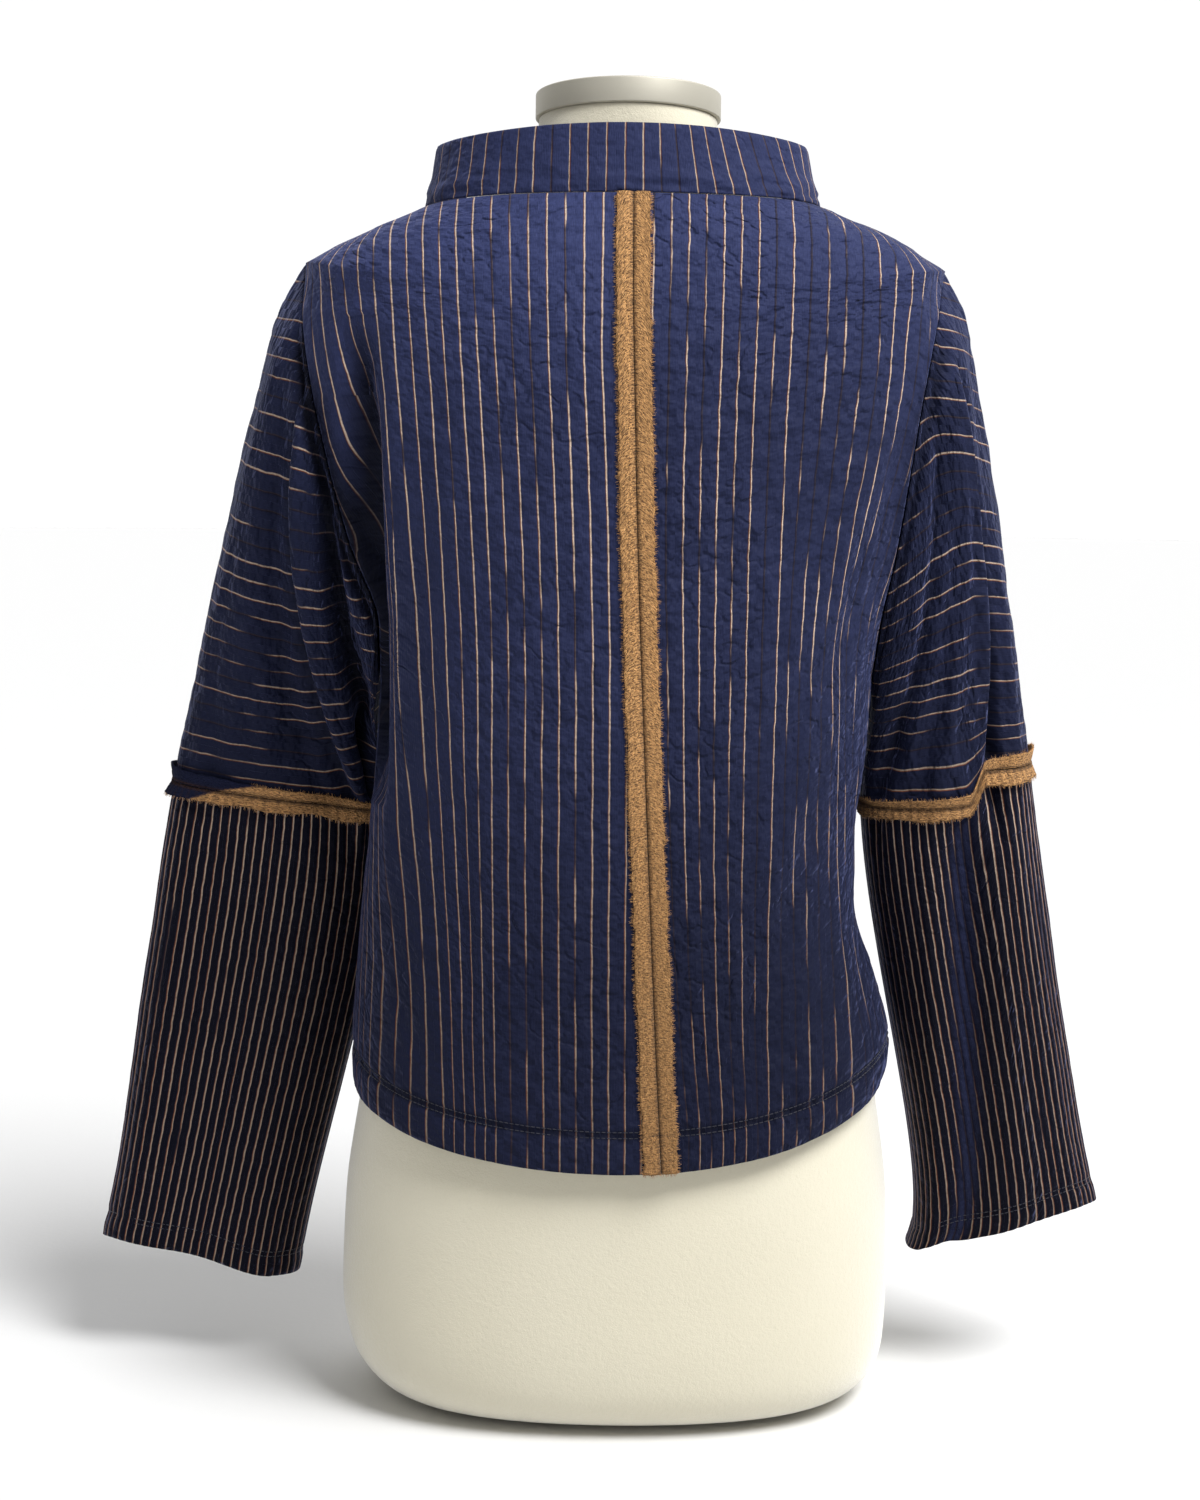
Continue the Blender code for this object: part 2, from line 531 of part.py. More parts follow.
def sleeve_normal(name, column_number, along):
    """The outward direction, from steps along the sleeve and to the columns beside."""
    step = 0.02
    low, high = np.clip(along - step, 0, 2), np.clip(along + step, 0, 2)
    down = sleeve_point(name, column_number, high) - sleeve_point(name, column_number, low)
    around = sleeve_point(name, column_number + 1, along) - sleeve_point(name, column_number - 1, along)
    normal = np.cross(around, down) * SIDE[name]
    return normal / np.linalg.norm(normal, axis=-1, keepdims=True)


def sleeve_grid(name, first, last, rows):
    count = 2 * ARMHOLE_ROWS
    along, number = np.meshgrid(np.linspace(first, last, rows + 1), np.arange(count), indexing="ij")
    return sleeve_point(name, number, along), sleeve_normal(name, number, along)


def make_sleeve(name):
    upper_length, lower_length = 0.30, 0.32
    gap = SEAM_GAP / lower_length
    face, normal = sleeve_grid(name, 0.0, 1 - gap, UPPER_ROWS)
    wall(f"upper_sleeve_{name}", face, face - normal * CLOTH, "navy_cloth", round_tube=True)
    face, normal = sleeve_grid(name, 1 + gap, 2.0, LOWER_ROWS)
    cuff_share = CUFF_HEM_DEPTH / lower_length
    along = np.linspace(1, 2, LOWER_ROWS + 1)[:, None, None]
    thickness = np.where(2 - along < cuff_share, HEM_CLOTH, CLOTH)
    wall(f"lower_sleeve_{name}", face, face - normal * thickness, "forearm_cloth", round_tube=True)

    strips = (
        (f"elbow_strip_upper_{name}", 1 - gap - SLEEVE_STRIP_WIDTH / upper_length, 1 - gap, 0),
        (f"elbow_strip_lower_{name}", 1 + gap, 1 + gap + SLEEVE_STRIP_WIDTH / lower_length, 1),
    )
    for strip, first, last, seam_row in strips:
        face, normal = sleeve_grid(name, first, last, 1)
        free_edge = np.array([1.0, 0.0]) if seam_row == 0 else np.array([0.0, 1.0])
        beside_body = (1 - np.cos(2 * math.pi * np.arange(face.shape[1]) / face.shape[1])) / 2
        stand = SLEEVE_STRIP_STAND * free_edge[:, None] * (1 - beside_body**3)
        lift = (SLEEVE_STRIP_LIFT + stand)[..., None]
        wall(strip, face + normal * (lift + STRIP_CLOTH), face + normal * lift, "copper_reverse", round_tube=True)


# ---------------------------------------------------------------- dress form
def make_form():
    """The limbless torso: one closed solid lofted through its levels, then a short neck cut on a slant."""
    levels = np.linspace(0, len(FORM_LEVELS) - 1, FORM_ROWS)
    angles = np.linspace(0, 2 * math.pi, FORM_COLUMNS_ROUND, endpoint=False)
    level_grid, angle_grid = np.meshgrid(levels, angles, indexing="ij")
    rings = closed_section(FORM_LEVELS, FORM_COLUMNS, level_grid, angle_grid)
    tilt = np.array([0.0, math.cos(CAP_TILT), -math.sin(CAP_TILT)])
    neck_top = (
        np.array(NECK_TOP)
        + NECK_RADIUS * np.cos(angles)[:, None] * np.array([1.0, 0, 0])
        - NECK_RADIUS * np.sin(angles)[:, None] * tilt
    )
    points = np.concatenate([rings, neck_top[None]])
    rows = len(points)
    index = np.arange(rows * FORM_COLUMNS_ROUND).reshape(rows, FORM_COLUMNS_ROUND)
    index = np.concatenate([index, index[:, :1]], axis=1)
    quads = np.stack([index[:-1, :-1], index[:-1, 1:], index[1:, 1:], index[1:, :-1]], axis=-1)
    faces = quads.reshape(-1, 4).tolist() + [index[0, :-1].tolist(), index[-1, :-1].tolist()]
    mesh_object("dress_form", points.reshape(-1, 3), faces, "cream_jersey")


def make_neck_cap():
    """The metal cap: a short cylinder with softened rims, seated on the neck's slanting top."""
    bpy.ops.mesh.primitive_cylinder_add(vertices=36, radius=CAP_RADIUS, depth=CAP_HEIGHT)
    cap = bpy.context.object
    cap.name = "neck_cap"
    cap.data.name = "neck_cap"
    cap.rotation_euler = (-CAP_TILT, 0, 0)
    seat = SEAM_GAP + CAP_HEIGHT / 2
    cap.location = Vector(NECK_TOP) + Vector((0, math.sin(CAP_TILT), math.cos(CAP_TILT))) * seat
    bevel = cap.modifiers.new("softened_rims", "BEVEL")
    bevel.width = 0.0008
    bevel.segments = 1
    cap.data.materials.append(bpy.data.materials["satin_metal"])
    for collection in cap.users_collection:
        collection.objects.unlink(cap)
    PARTS.objects.link(cap)


def make_materials():
    for name, (colour, roughness, metallic) in MATERIALS.items():
        material = bpy.data.materials.new(name)
        material.use_nodes = True
        shader = material.node_tree.nodes["Principled BSDF"]
        shader.inputs["Base Color"].default_value = (*colour, 1.0)
        shader.inputs["Roughness"].default_value = roughness
        shader.inputs["Metallic"].default_value = metallic


for old in list(bpy.data.objects):
    bpy.data.objects.remove(old)
PARTS = bpy.data.collections.new("mock_neck_top")
bpy.context.scene.collection.children.link(PARTS)
make_materials()
make_form()
make_neck_cap()
make_back_and_front()
make_centre_back_strips()
make_collar()
for sleeve_name in SIDE:
    make_sleeve(sleeve_name)
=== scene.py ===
"""The finished look of a mock neck top on a dress form: every cloth piece at fine resolution, with its
stripes, crinkles, seams and raw edges, and the form, the light and the camera.

Metres, +Z up. The garment's back faces -Y, its front +Y, and +X is the wearer's right.
"""

import math

import bpy
import numpy as np
from mathutils import Matrix


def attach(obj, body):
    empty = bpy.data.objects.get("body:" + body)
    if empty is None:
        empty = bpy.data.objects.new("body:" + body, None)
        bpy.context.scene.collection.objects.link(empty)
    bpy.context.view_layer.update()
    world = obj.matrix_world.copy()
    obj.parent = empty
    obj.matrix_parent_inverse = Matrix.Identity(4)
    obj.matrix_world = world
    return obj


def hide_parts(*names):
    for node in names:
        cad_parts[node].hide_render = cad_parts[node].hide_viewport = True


bl_info = {
    "name": "Mock Neck Top",
    "version": (1, 0, 0),
    "blender": (4, 5, 0),
    "location": "View3D > Sidebar > Mock Neck Top",
    "description": "Makes a pinstriped mock neck top with raw copper seams on a dress form",
    "category": "Add Mesh",
}

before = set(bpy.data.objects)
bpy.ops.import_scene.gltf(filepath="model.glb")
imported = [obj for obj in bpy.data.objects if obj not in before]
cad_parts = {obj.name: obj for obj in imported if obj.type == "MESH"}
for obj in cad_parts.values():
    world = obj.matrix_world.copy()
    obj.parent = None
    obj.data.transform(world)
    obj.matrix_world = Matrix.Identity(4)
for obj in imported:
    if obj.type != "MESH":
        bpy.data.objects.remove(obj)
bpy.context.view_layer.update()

# ---------------------------------------------------------------- sizes shared with the solids
CLOTH = 0.0016
HEM_CLOTH = 0.0026
COLLAR_CLOTH = 0.0022
STRIP_CLOTH = 0.0011
SEAM_GAP = 0.0003
STRIP_LIFT = 0.0004
SLEEVE_STRIP_LIFT = 0.0007
SQUARENESS = 0.12
HEM_DEPTH = 0.024
CUFF_HEM_DEPTH = 0.015
BACK_STRIP_WIDTH = 0.0101  # as it shows in the photograph: narrower than its solid, because it is creased
SLEEVE_STRIP_WIDTH = 0.0088
SLEEVE_STRIP_STAND = 0.0022
CAP_RADIUS = 0.0578
CAP_HEIGHT = 0.0155
CAP_TILT = math.radians(4.8)
NECK_TOP = (0.0, 0.008, 0.8135)
NECK_RADIUS = 0.0555

# The body's levels from hem to neck seam. From the underarm to the shoulder tip its edge is the armhole.
BODY_COLUMNS = "back_y back_z front_y front_z left_x left_z right_x right_z arm_y turn".split()
BODY_LEVELS = (
    (-0.131, 0.178, 0.125, 0.202, 0.1705, 0.205, 0.1730, 0.215, 0.000, 0),  # hem
    (-0.128, 0.222, 0.127, 0.240, 0.1712, 0.234, 0.1752, 0.238, 0.000, 0),
    (-0.123, 0.272, 0.130, 0.283, 0.1690, 0.276, 0.1655, 0.276, 0.000, 0),
    (-0.119, 0.322, 0.133, 0.328, 0.1652, 0.322, 0.1520, 0.322, 0.000, 0),
    (-0.116, 0.372, 0.135, 0.374, 0.1605, 0.370, 0.1505, 0.370, 0.000, 0),  # waist
    (-0.114, 0.422, 0.137, 0.420, 0.1570, 0.418, 0.1560, 0.418, 0.000, 0),
    (-0.113, 0.467, 0.138, 0.462, 0.1545, 0.460, 0.1590, 0.460, 0.000, 0),  # underarm
    (-0.112, 0.512, 0.138, 0.502, 0.1530, 0.500, 0.1610, 0.498, 0.026, 14),
    (-0.112, 0.559, 0.136, 0.545, 0.1700, 0.552, 0.1690, 0.548, 0.041, 27),
    (-0.111, 0.605, 0.130, 0.586, 0.1835, 0.605, 0.1765, 0.603, 0.048, 34),
    (-0.109, 0.646, 0.121, 0.624, 0.1935, 0.652, 0.1840, 0.652, 0.047, 34),
    (-0.106, 0.680, 0.110, 0.656, 0.1990, 0.690, 0.1915, 0.690, 0.036, 26),
    (-0.101, 0.706, 0.099, 0.684, 0.2005, 0.7235, 0.1985, 0.7225, 0.000, 0),  # shoulder tip
    (-0.094, 0.733, 0.089, 0.709, 0.1700, 0.7393, 0.1640, 0.7437, 0.000, 0),
    (-0.082, 0.762, 0.078, 0.736, 0.1262, 0.7580, 0.1205, 0.7605, 0.000, 0),  # neck seam
)
UNDERARM, TIP, NECK = 6, 12, 14
SIDE_Y = 0.002
SIDE = {"left": -1, "right": 1}
SECTION_POWER = 2.4
SLEEVE_START_GAP = 0.0005
ELBOW_GAP = SEAM_GAP / 0.32  # half the elbow seam's gap, as a share of the sleeve's length
BESIDE_BODY_BELOW = 0.540
CENTRE_SEAM = ((0, 0.0265), (3, 0.0185), (6, 0.0115), (9, 0.0060), (12, 0.0032), (14, 0.0030))
EDGE_DIP = 0.0003  # how far a cloth's face dips into a seam
EDGE_DIP_WIDTH = 0.0025
STRIP_RIB_PITCH = 0.0062  # from one rib of an elbow allowance to the next
STRIP_MAP_STEP = 0.1  # the allowances' maps lie this far apart, so each has its own pattern
HEM_STITCH_ROWS = (-0.0018, 0.0018)  # from the hem's fold line
CUFF_STITCH_ROWS = (-0.0015, 0.0015)
HEM_ROLL, HEM_GROOVE = 0.0007, 0.0012  # height of the turned-up roll, depth of the stitched grooves
CUFF_ROLL, CUFF_GROOVE = 0.0004, 0.0006
CAP_RIM = 0.0010  # radius of the cap's rounded rims
CAP_LIP = 0.0022  # width of the lip round its sunk top
CAP_SINK = 0.0006
CAP_COLUMNS = 180
THREAD_LENGTH = (0.0011, 0.0016)  # of a yarn end: the least, and what chance adds at most
THREAD_LIFT = 0.0009
THREAD_LEAN = 0.0011
THREAD_RADIUS = 0.00013
COLLAR_BAND_CRINKLE = 0.0013  # of the low band above the neck seam
FOREARM_RIB = 0.00045
STITCH = 0.0026
STITCH_GAP = 0.0007
STITCH_SINK = 0.0004
STITCH_RADII = (0.000126, 0.00028, 0.00028, 0.000126)

FORM_COLUMNS = "back_y back_z front_y front_z left_x left_z right_x right_z".split()
FORM_LEVELS = (
    (-0.072, 0.000, 0.072, 0.000, 0.1300, 0.000, 0.1300, 0.000),  # flat base
    (-0.095, 0.006, 0.094, 0.006, 0.1480, 0.006, 0.1545, 0.006),
    (-0.108, 0.017, 0.107, 0.017, 0.1620, 0.017, 0.1695, 0.017),
    (-0.1155, 0.036, 0.114, 0.036, 0.1730, 0.036, 0.1765, 0.036),
    (-0.1185, 0.070, 0.116, 0.070, 0.1780, 0.070, 0.1780, 0.070),
    (-0.1190, 0.130, 0.116, 0.130, 0.1757, 0.130, 0.1765, 0.130),
    (-0.1170, 0.190, 0.115, 0.190, 0.1672, 0.190, 0.1690, 0.190),
    (-0.1100, 0.240, 0.111, 0.240, 0.1580, 0.240, 0.1600, 0.240),
    (-0.0960, 0.300, 0.104, 0.300, 0.1390, 0.300, 0.1390, 0.300),
    (-0.0840, 0.360, 0.098, 0.360, 0.1260, 0.360, 0.1260, 0.360),  # waist
    (-0.0860, 0.420, 0.104, 0.420, 0.1300, 0.420, 0.1300, 0.420),
    (-0.0930, 0.480, 0.116, 0.480, 0.1400, 0.480, 0.1400, 0.480),
    (-0.0990, 0.540, 0.126, 0.540, 0.1470, 0.540, 0.1470, 0.540),
    (-0.1020, 0.590, 0.122, 0.580, 0.1570, 0.592, 0.1550, 0.592),
    (-0.1030, 0.638, 0.112, 0.620, 0.1740, 0.640, 0.1690, 0.640),
    (-0.1010, 0.674, 0.102, 0.654, 0.1840, 0.682, 0.1790, 0.682),
    (-0.0970, 0.700, 0.092, 0.682, 0.1835, 0.7150, 0.1805, 0.7150),  # shoulder tip
    (-0.0900, 0.727, 0.083, 0.706, 0.1620, 0.7388, 0.1560, 0.7440),
    (-0.0780, 0.752, 0.073, 0.731, 0.1240, 0.7560, 0.1180, 0.7588),
    (-0.0670, 0.770, 0.066, 0.748, 0.0880, 0.7685, 0.0860, 0.7690),
    (-0.0580, 0.785, 0.063, 0.765, 0.0640, 0.7820, 0.0640, 0.7820),
    (-0.0490, 0.800, 0.061, 0.785, 0.0570, 0.7960, 0.0570, 0.7960),
)

# The rings of a hanging sleeve, from the elbow seam to the cuff.
SLEEVE_RINGS = {
    "left": (
        (0.2262, 0.062, 0.3800, 0.0708, 0.031, 7.0),
        (0.2400, 0.060, 0.2750, 0.0745, 0.030, 7.5),
        (0.2607, 0.055, 0.1650, 0.0697, 0.031, 7.5),
        (0.2790, 0.048, 0.0695, 0.0669, 0.032, 7.5),
    ),
    "right": (
        (0.2125, 0.034, 0.3960, 0.0547, 0.044, 4.8),
        (0.2300, 0.035, 0.2835, 0.0572, 0.042, 11.6),
        (0.2512, 0.034, 0.1700, 0.0569, 0.040, 13.0),
        (0.2585, 0.032, 0.1015, 0.0648, 0.036, 13.4),
    ),
}
ELBOW_RISE = {
    "left": ((0, 0.0), (180, 0.0), (360, 0.0)),
    "right": ((0, 0.010), (69, 0.011), (81, -0.010), (180, -0.008), (270, 0.0), (360, 0.010)),
}
CUFF_RISE = {
    "left": ((0, 0.001), (45, 0.006), (90, 0.004), (135, -0.004), (180, -0.004), (270, 0.0), (360, 0.001)),
    "right": ((0, 0.001), (60, 0.006), (120, 0.002), (165, -0.003), (200, 0.0), (360, 0.001)),
}
SLEEVE_LEAD = ((0, 0.50), (90, 0.38), (180, 0.12), (270, 0.38), (360, 0.50))
SLEEVE_LEAD_LENGTH = 0.55
SLEEVE_CLEARANCE = 0.0034

# Troughs (positive depth) and ridges of the body, each along a line from (x0, z0) to (x1, z1).
BACK_FOLDS = (
    (-0.171, 0.640, -0.158, 0.470, 0.0070, 0.013),
    (-0.147, 0.640, -0.144, 0.330, -0.0035, 0.014),
    (0.180, 0.640, 0.156, 0.500, 0.0050, 0.012),
    (0.158, 0.640, 0.128, 0.520, -0.0035, 0.014),
    (0.150, 0.480, 0.126, 0.330, 0.0035, 0.016),
)
FRONT_FOLDS = (
    (-0.168, 0.630, -0.120, 0.520, 0.0045, 0.014),
    (0.168, 0.630, 0.120, 0.520, 0.0045, 0.014),
    (-0.120, 0.430, -0.110, 0.250, -0.0040, 0.020),
    (0.115, 0.430, 0.105, 0.250, -0.0040, 0.020),
)
# The finer creases that lie between them.
BACK_CREASES = (
    (-0.1620, 0.690, -0.1540, 0.390, 0.0165, 0.0098),
    (-0.1445, 0.640, -0.1430, 0.330, -0.0030, 0.0040),
    (-0.130, 0.690, -0.112, 0.620, 0.0010, 0.008),
    (-0.084, 0.712, -0.030, 0.668, 0.0006, 0.0042),
    (-0.080, 0.694, -0.026, 0.646, 0.0007, 0.0042),
    (-0.074, 0.674, -0.024, 0.626, 0.0006, 0.0040),
    (-0.066, 0.652, -0.022, 0.604, 0.0006, 0.0044),
    (0.030, 0.716, 0.052, 0.700, 0.0007, 0.0040),
    (0.034, 0.694, 0.060, 0.684, 0.0006, 0.0036),
    (0.040, 0.640, 0.075, 0.622, 0.0006, 0.0042),
    (0.095, 0.605, 0.135, 0.585, 0.0009, 0.0050),
    (0.085, 0.500, 0.125, 0.470, 0.0008, 0.0055),
    (-0.110, 0.540, -0.098, 0.400, -0.0010, 0.010),
    (-0.098, 0.400, -0.092, 0.270, 0.0012, 0.006),
    (-0.150, 0.300, -0.118, 0.235, 0.0014, 0.007),
    (-0.060, 0.360, -0.052, 0.230, 0.0009, 0.009),
    (0.060, 0.690, 0.082, 0.660, 0.0008, 0.007),
    (0.150, 0.560, 0.118, 0.440, 0.0018, 0.006),
    (0.140, 0.590, 0.104, 0.520, 0.0012, 0.007),
    (0.128, 0.440, 0.096, 0.300, 0.0014, 0.008),
    (0.158, 0.330, 0.150, 0.250, 0.0014, 0.006),
    (0.080, 0.360, 0.088, 0.240, 0.0009, 0.010),
    (0.168, 0.700, 0.150, 0.640, 0.0012, 0.008),
)
FRONT_CREASES = (
    (-0.150, 0.600, -0.118, 0.480, 0.0016, 0.007),
    (0.152, 0.600, 0.122, 0.470, 0.0018, 0.007),
    (-0.080, 0.560, -0.092, 0.330, 0.0010, 0.010),
    (0.070, 0.540, 0.086, 0.300, 0.0011, 0.010),
    (-0.030, 0.430, -0.036, 0.260, -0.0010, 0.012),
    (0.028, 0.400, 0.022, 0.240, 0.0010, 0.012),
    (-0.060, 0.690, -0.020, 0.670, 0.0008, 0.009),
)
# Folds over a sleeve's tube: angle from its outer line towards the back, way along from the armhole, depth
# and width in degrees.
FRONT_SLEEVE_FOLD = (285, 0.15, 290, 0.92, 0.0060, 18)
SLEEVE_FOLDS = {
    "left": (
        (0, 0.04, 0, 0.18, -0.0065, 42),
        (40, 0.10, 118, 0.97, 0.0075, 14),
        (66, 0.06, 150, 0.97, -0.0065, 17),
        (74, 1.06, 84, 2.00, 0.0050, 18),
        (118, 1.06, 122, 2.00, -0.0040, 16),
        FRONT_SLEEVE_FOLD,
    ),
    "right": (
        (0, 0.04, 0, 0.18, -0.0060, 42),
        (8, 0.22, 62, 0.97, 0.0060, 13),
        (36, 0.14, 96, 0.97, -0.0060, 16),
        (84, 1.04, 128, 2.00, 0.0080, 13),
        (56, 1.04, 92, 2.00, -0.0050, 15),
        FRONT_SLEEVE_FOLD,
    ),
}
FRONT_SLEEVE_CREASES = (
    (250, 0.30, 240, 0.95, 0.0020, 9),
    (320, 0.35, 330, 0.97, -0.0018, 9),
    (262, 1.05, 268, 1.90, 0.0020, 10),
    (310, 1.05, 304, 1.95, -0.0016, 10),
)
SLEEVE_CREASES = {
    "left": (
        (98, 0.08, 146, 0.66, 0.0150, 11),
        (146, 0.60, 154, 1.02, 0.0110, 10),
        (56, 0.10, 130, 0.97, 0.0075, 5.5),
        (66, 0.10, 140, 0.97, -0.0040, 6),
        (60, 0.30, 100, 0.80, 0.0030, 9),
        (30, 0.45, 52, 0.98, 0.0016, 6),
        (60, 0.62, 66, 0.98, -0.0014, 6),
        (84, 0.55, 96, 0.98, 0.0013, 7),
        (20, 0.20, 34, 0.60, -0.0012, 8),
        (52, 1.02, 60, 1.50, 0.0012, 7),
        (100, 1.02, 98, 1.70, -0.0011, 8),
        (40, 1.30, 44, 1.98, -0.0010, 9),
        *FRONT_SLEEVE_CREASES,
    ),
    "right": (
        (28, 0.22, 65, 1.02, 0.0105, 4.5),
        (38, 0.22, 76, 1.02, -0.0045, 5),
        (60, 0.10, 128, 0.72, 0.0045, 9),
        (128, 0.66, 150, 1.02, 0.0040, 10),
        (34, 0.25, 80, 0.80, 0.0026, 8),
        (30, 0.35, 74, 0.96, 0.0014, 6),
        (70, 0.40, 112, 0.97, 0.0016, 7),
        (96, 0.55, 132, 0.98, -0.0014, 8),
        (20, 0.45, 40, 0.97, -0.0013, 6),
        (100, 1.02, 146, 1.90, -0.0016, 7),
        (60, 1.02, 70, 1.60, 0.0013, 7),
        (30, 1.20, 34, 1.98, 0.0012, 9),
        *FRONT_SLEEVE_CREASES,
    ),
}

DEEP_FROM = 0.0105  # depth of a crease whose cloth is in full shade
DEEP_START = 0.15  # share of that depth from which a crease is drawn darker
ARM_TROUGH = {"left": 0.0050, "right": 0.0025}  # how far the sleeve dips beside the armhole, at the back
# The shade beside the armhole seam: its strength, and its width on the panel and on the sleeve.
SEAM_SHADE = ({"left": 1.1, "right": 0.6}, 0.018, 0.030)
FADED_LINES = ((83, 1.02, 125, 2.00, 0.85, 7),)  # of the right forearm piece: navy, with few stripes

COLLAR_COLUMNS = "back_y back_z front_y front_z left_x left_z right_x right_z square".split()
COLLAR_LEVELS = (
    (-0.0820, 0.7624, 0.0780, 0.7364, 0.1262, 0.7584, 0.1205, 0.7609, 0.12),
    (-0.0815, 0.7720, 0.0790, 0.7480, 0.1243, 0.7680, 0.1180, 0.7700, 0.09),
    (-0.0805, 0.7830, 0.0790, 0.7600, 0.1218, 0.7780, 0.1150, 0.7795, 0.04),
    (-0.0795, 0.7935, 0.0780, 0.7710, 0.1203, 0.7875, 0.1132, 0.7888, 0.00),
    (-0.0785, 0.8030, 0.0765, 0.7810, 0.1188, 0.7955, 0.1118, 0.7965, -0.03),
)

# ---------------------------------------------------------------- how the stripes run
# On each back panel, the x of a few stripes at falling heights. The stripes between them are spaced evenly.
GRAIN_HEIGHTS = (0.74, 0.68, 0.62, 0.56, 0.48, 0.38, 0.28, 0.20)
BACK_GRAIN = {
    "left": {
        1: (-0.0257, -0.0253, -0.0226, -0.0200, -0.0179, -0.0171, -0.0163, -0.0150),
        7: (-0.0924, -0.0886, -0.0847, -0.0812, -0.0783, -0.0776, -0.0757, -0.0735),
        12: (-0.1425, -0.1389, -0.1336, -0.1289, -0.1236, -0.1164, -0.1085, -0.1050),
        13: (-0.1530, -0.1490, -0.1424, -0.1394, -0.1388, -0.1270, -0.1180, -0.1160),
        16: (-0.1850, -0.1755, -0.1634, -0.1484, -0.1440, -0.1560, -0.1463, -0.1488),
        18: (-0.2050, -0.1930, -0.1840, -0.1628, -0.1475, -0.1760, -0.1700, -0.1720),
    },
    "right": {
        2: (0.0362, 0.0355, 0.0347, 0.0344, 0.0359, 0.0383, 0.0433, 0.0500),
        8: (0.0990, 0.0974, 0.0950, 0.0937, 0.0923, 0.0909, 0.0903, 0.0921),
        13: (0.1515, 0.1520, 0.1465, 0.1370, 0.1290, 0.1290, 0.1330, 0.1350),
        15: (0.1740, 0.1700, 0.1630, 0.1503, 0.1370, 0.1400, 0.1520, 0.1570),
        18: (0.2000, 0.1960, 0.1850, 0.1740, 0.1620, 0.1660, 0.1800, 0.1850),
    },
}

TURN_SHARE = 0.88  # share of the half width beyond which a panel turns away to the side
TURN_LEAST = {"left": 0.147, "right": 0.0}  # and the least distance from the middle
COLLAR_STRIPE_START = 0.0024  # from the centre back to a stripe, towards the left
COLLAR_STRIPE_SHARE = 1.045  # the body's stripe spacing over the collar's
COLLAR_STRIPE_LEAN = -0.26  # of the stripes on the right

# How far up the sleeve a stripe is shifted at each angle, once it is clear of the elbow seam.
STRIPE_TILT = {
    "left": ((0, 0.0), (60, 0.006), (112, 0.015), (180, 0.016), (240, 0.012), (300, 0.006), (360, 0.0)),
    "right": (
        (0, 0.010), (40, 0.003), (60, 0.0), (90, 0.010), (120, 0.022), (150, 0.030), (210, 0.026),
        (300, 0.014), (360, 0.010),
    ),
}

# ---------------------------------------------------------------- resolution
BACK_GRID = (250, 124)  # rows, columns
FRONT_GRID = (160, 104)
COLLAR_GRID = (34, 240)
UPPER_SLEEVE_GRID = (92, 240)
LOWER_SLEEVE_GRID = (60, 5)  # rows, columns for each stripe
STRIP_GRID = (420, 10)
ELBOW_STRIP_GRID = (8, 260)
FORM_GRID = (150, 160)


# ---------------------------------------------------------------- what a user may change
class MockNeckClothSettings(bpy.types.PropertyGroup):
    """Colours and sizes of the cloth"""

    navy: bpy.props.FloatVectorProperty(
        name="Navy", description="Face colour of the cloth", subtype="COLOR", size=3, min=0, max=1,
        default=(0.0185, 0.0235, 0.0640),
    )
    forearm: bpy.props.FloatVectorProperty(
        name="Forearm ribs", description="Face colour of the forearm pieces",
        subtype="COLOR", size=3,
        min=0, max=1, default=(0.0038, 0.0042, 0.0130),
    )
    stripe: bpy.props.FloatVectorProperty(
        name="Stripe", description="Colour of a pinstripe", subtype="COLOR", size=3, min=0, max=1,
        default=(0.54, 0.42, 0.33),
    )
    # painted shade: the colour drawn in the dip beside each stripe
    groove: bpy.props.FloatVectorProperty(
        name="Groove", description="Colour beside a pinstripe, where the cloth dips",
        subtype="COLOR", size=3,
        min=0, max=1, default=(0.0045, 0.0052, 0.0130),
    )
    copper: bpy.props.FloatVectorProperty(
        name="Copper reverse", description="Colour of the raw seam allowances",
        subtype="COLOR", size=3,
        min=0, max=1, default=(0.60, 0.315, 0.120),
    )
    stripe_pitch: bpy.props.FloatProperty(
        name="Stripe spacing", description="Distance from one pinstripe to the next on body and sleeves",
        default=0.0115, min=0.004, max=0.04, unit="LENGTH",
    )
    forearm_stripes: bpy.props.IntProperty(
        name="Forearm stripes", description="Number of pinstripes round a forearm piece",
        default=57, min=12, max=120,
    )
    rib_height: bpy.props.FloatProperty(
        name="Rib height", description="How deep the cloth dips at a pinstripe",
        default=0.00016, min=0, max=0.002, unit="LENGTH",
    )
    crinkle: bpy.props.FloatProperty(
        name="Crinkle", description="Height of the puckers between two pinstripes",
        default=0.00042, min=0, max=0.002, unit="LENGTH",
    )


class MockNeckFormSettings(bpy.types.PropertyGroup):
    """Colours of the dress form"""

    jersey: bpy.props.FloatVectorProperty(
        name="Jersey", description="Colour of the form's cover", subtype="COLOR", size=3, min=0, max=1,
        default=(0.71, 0.665, 0.525),
    )
    cap: bpy.props.FloatVectorProperty(
        name="Neck cap", description="Colour of the metal cap", subtype="COLOR", size=3, min=0, max=1,
        default=(0.50, 0.475, 0.40),
    )


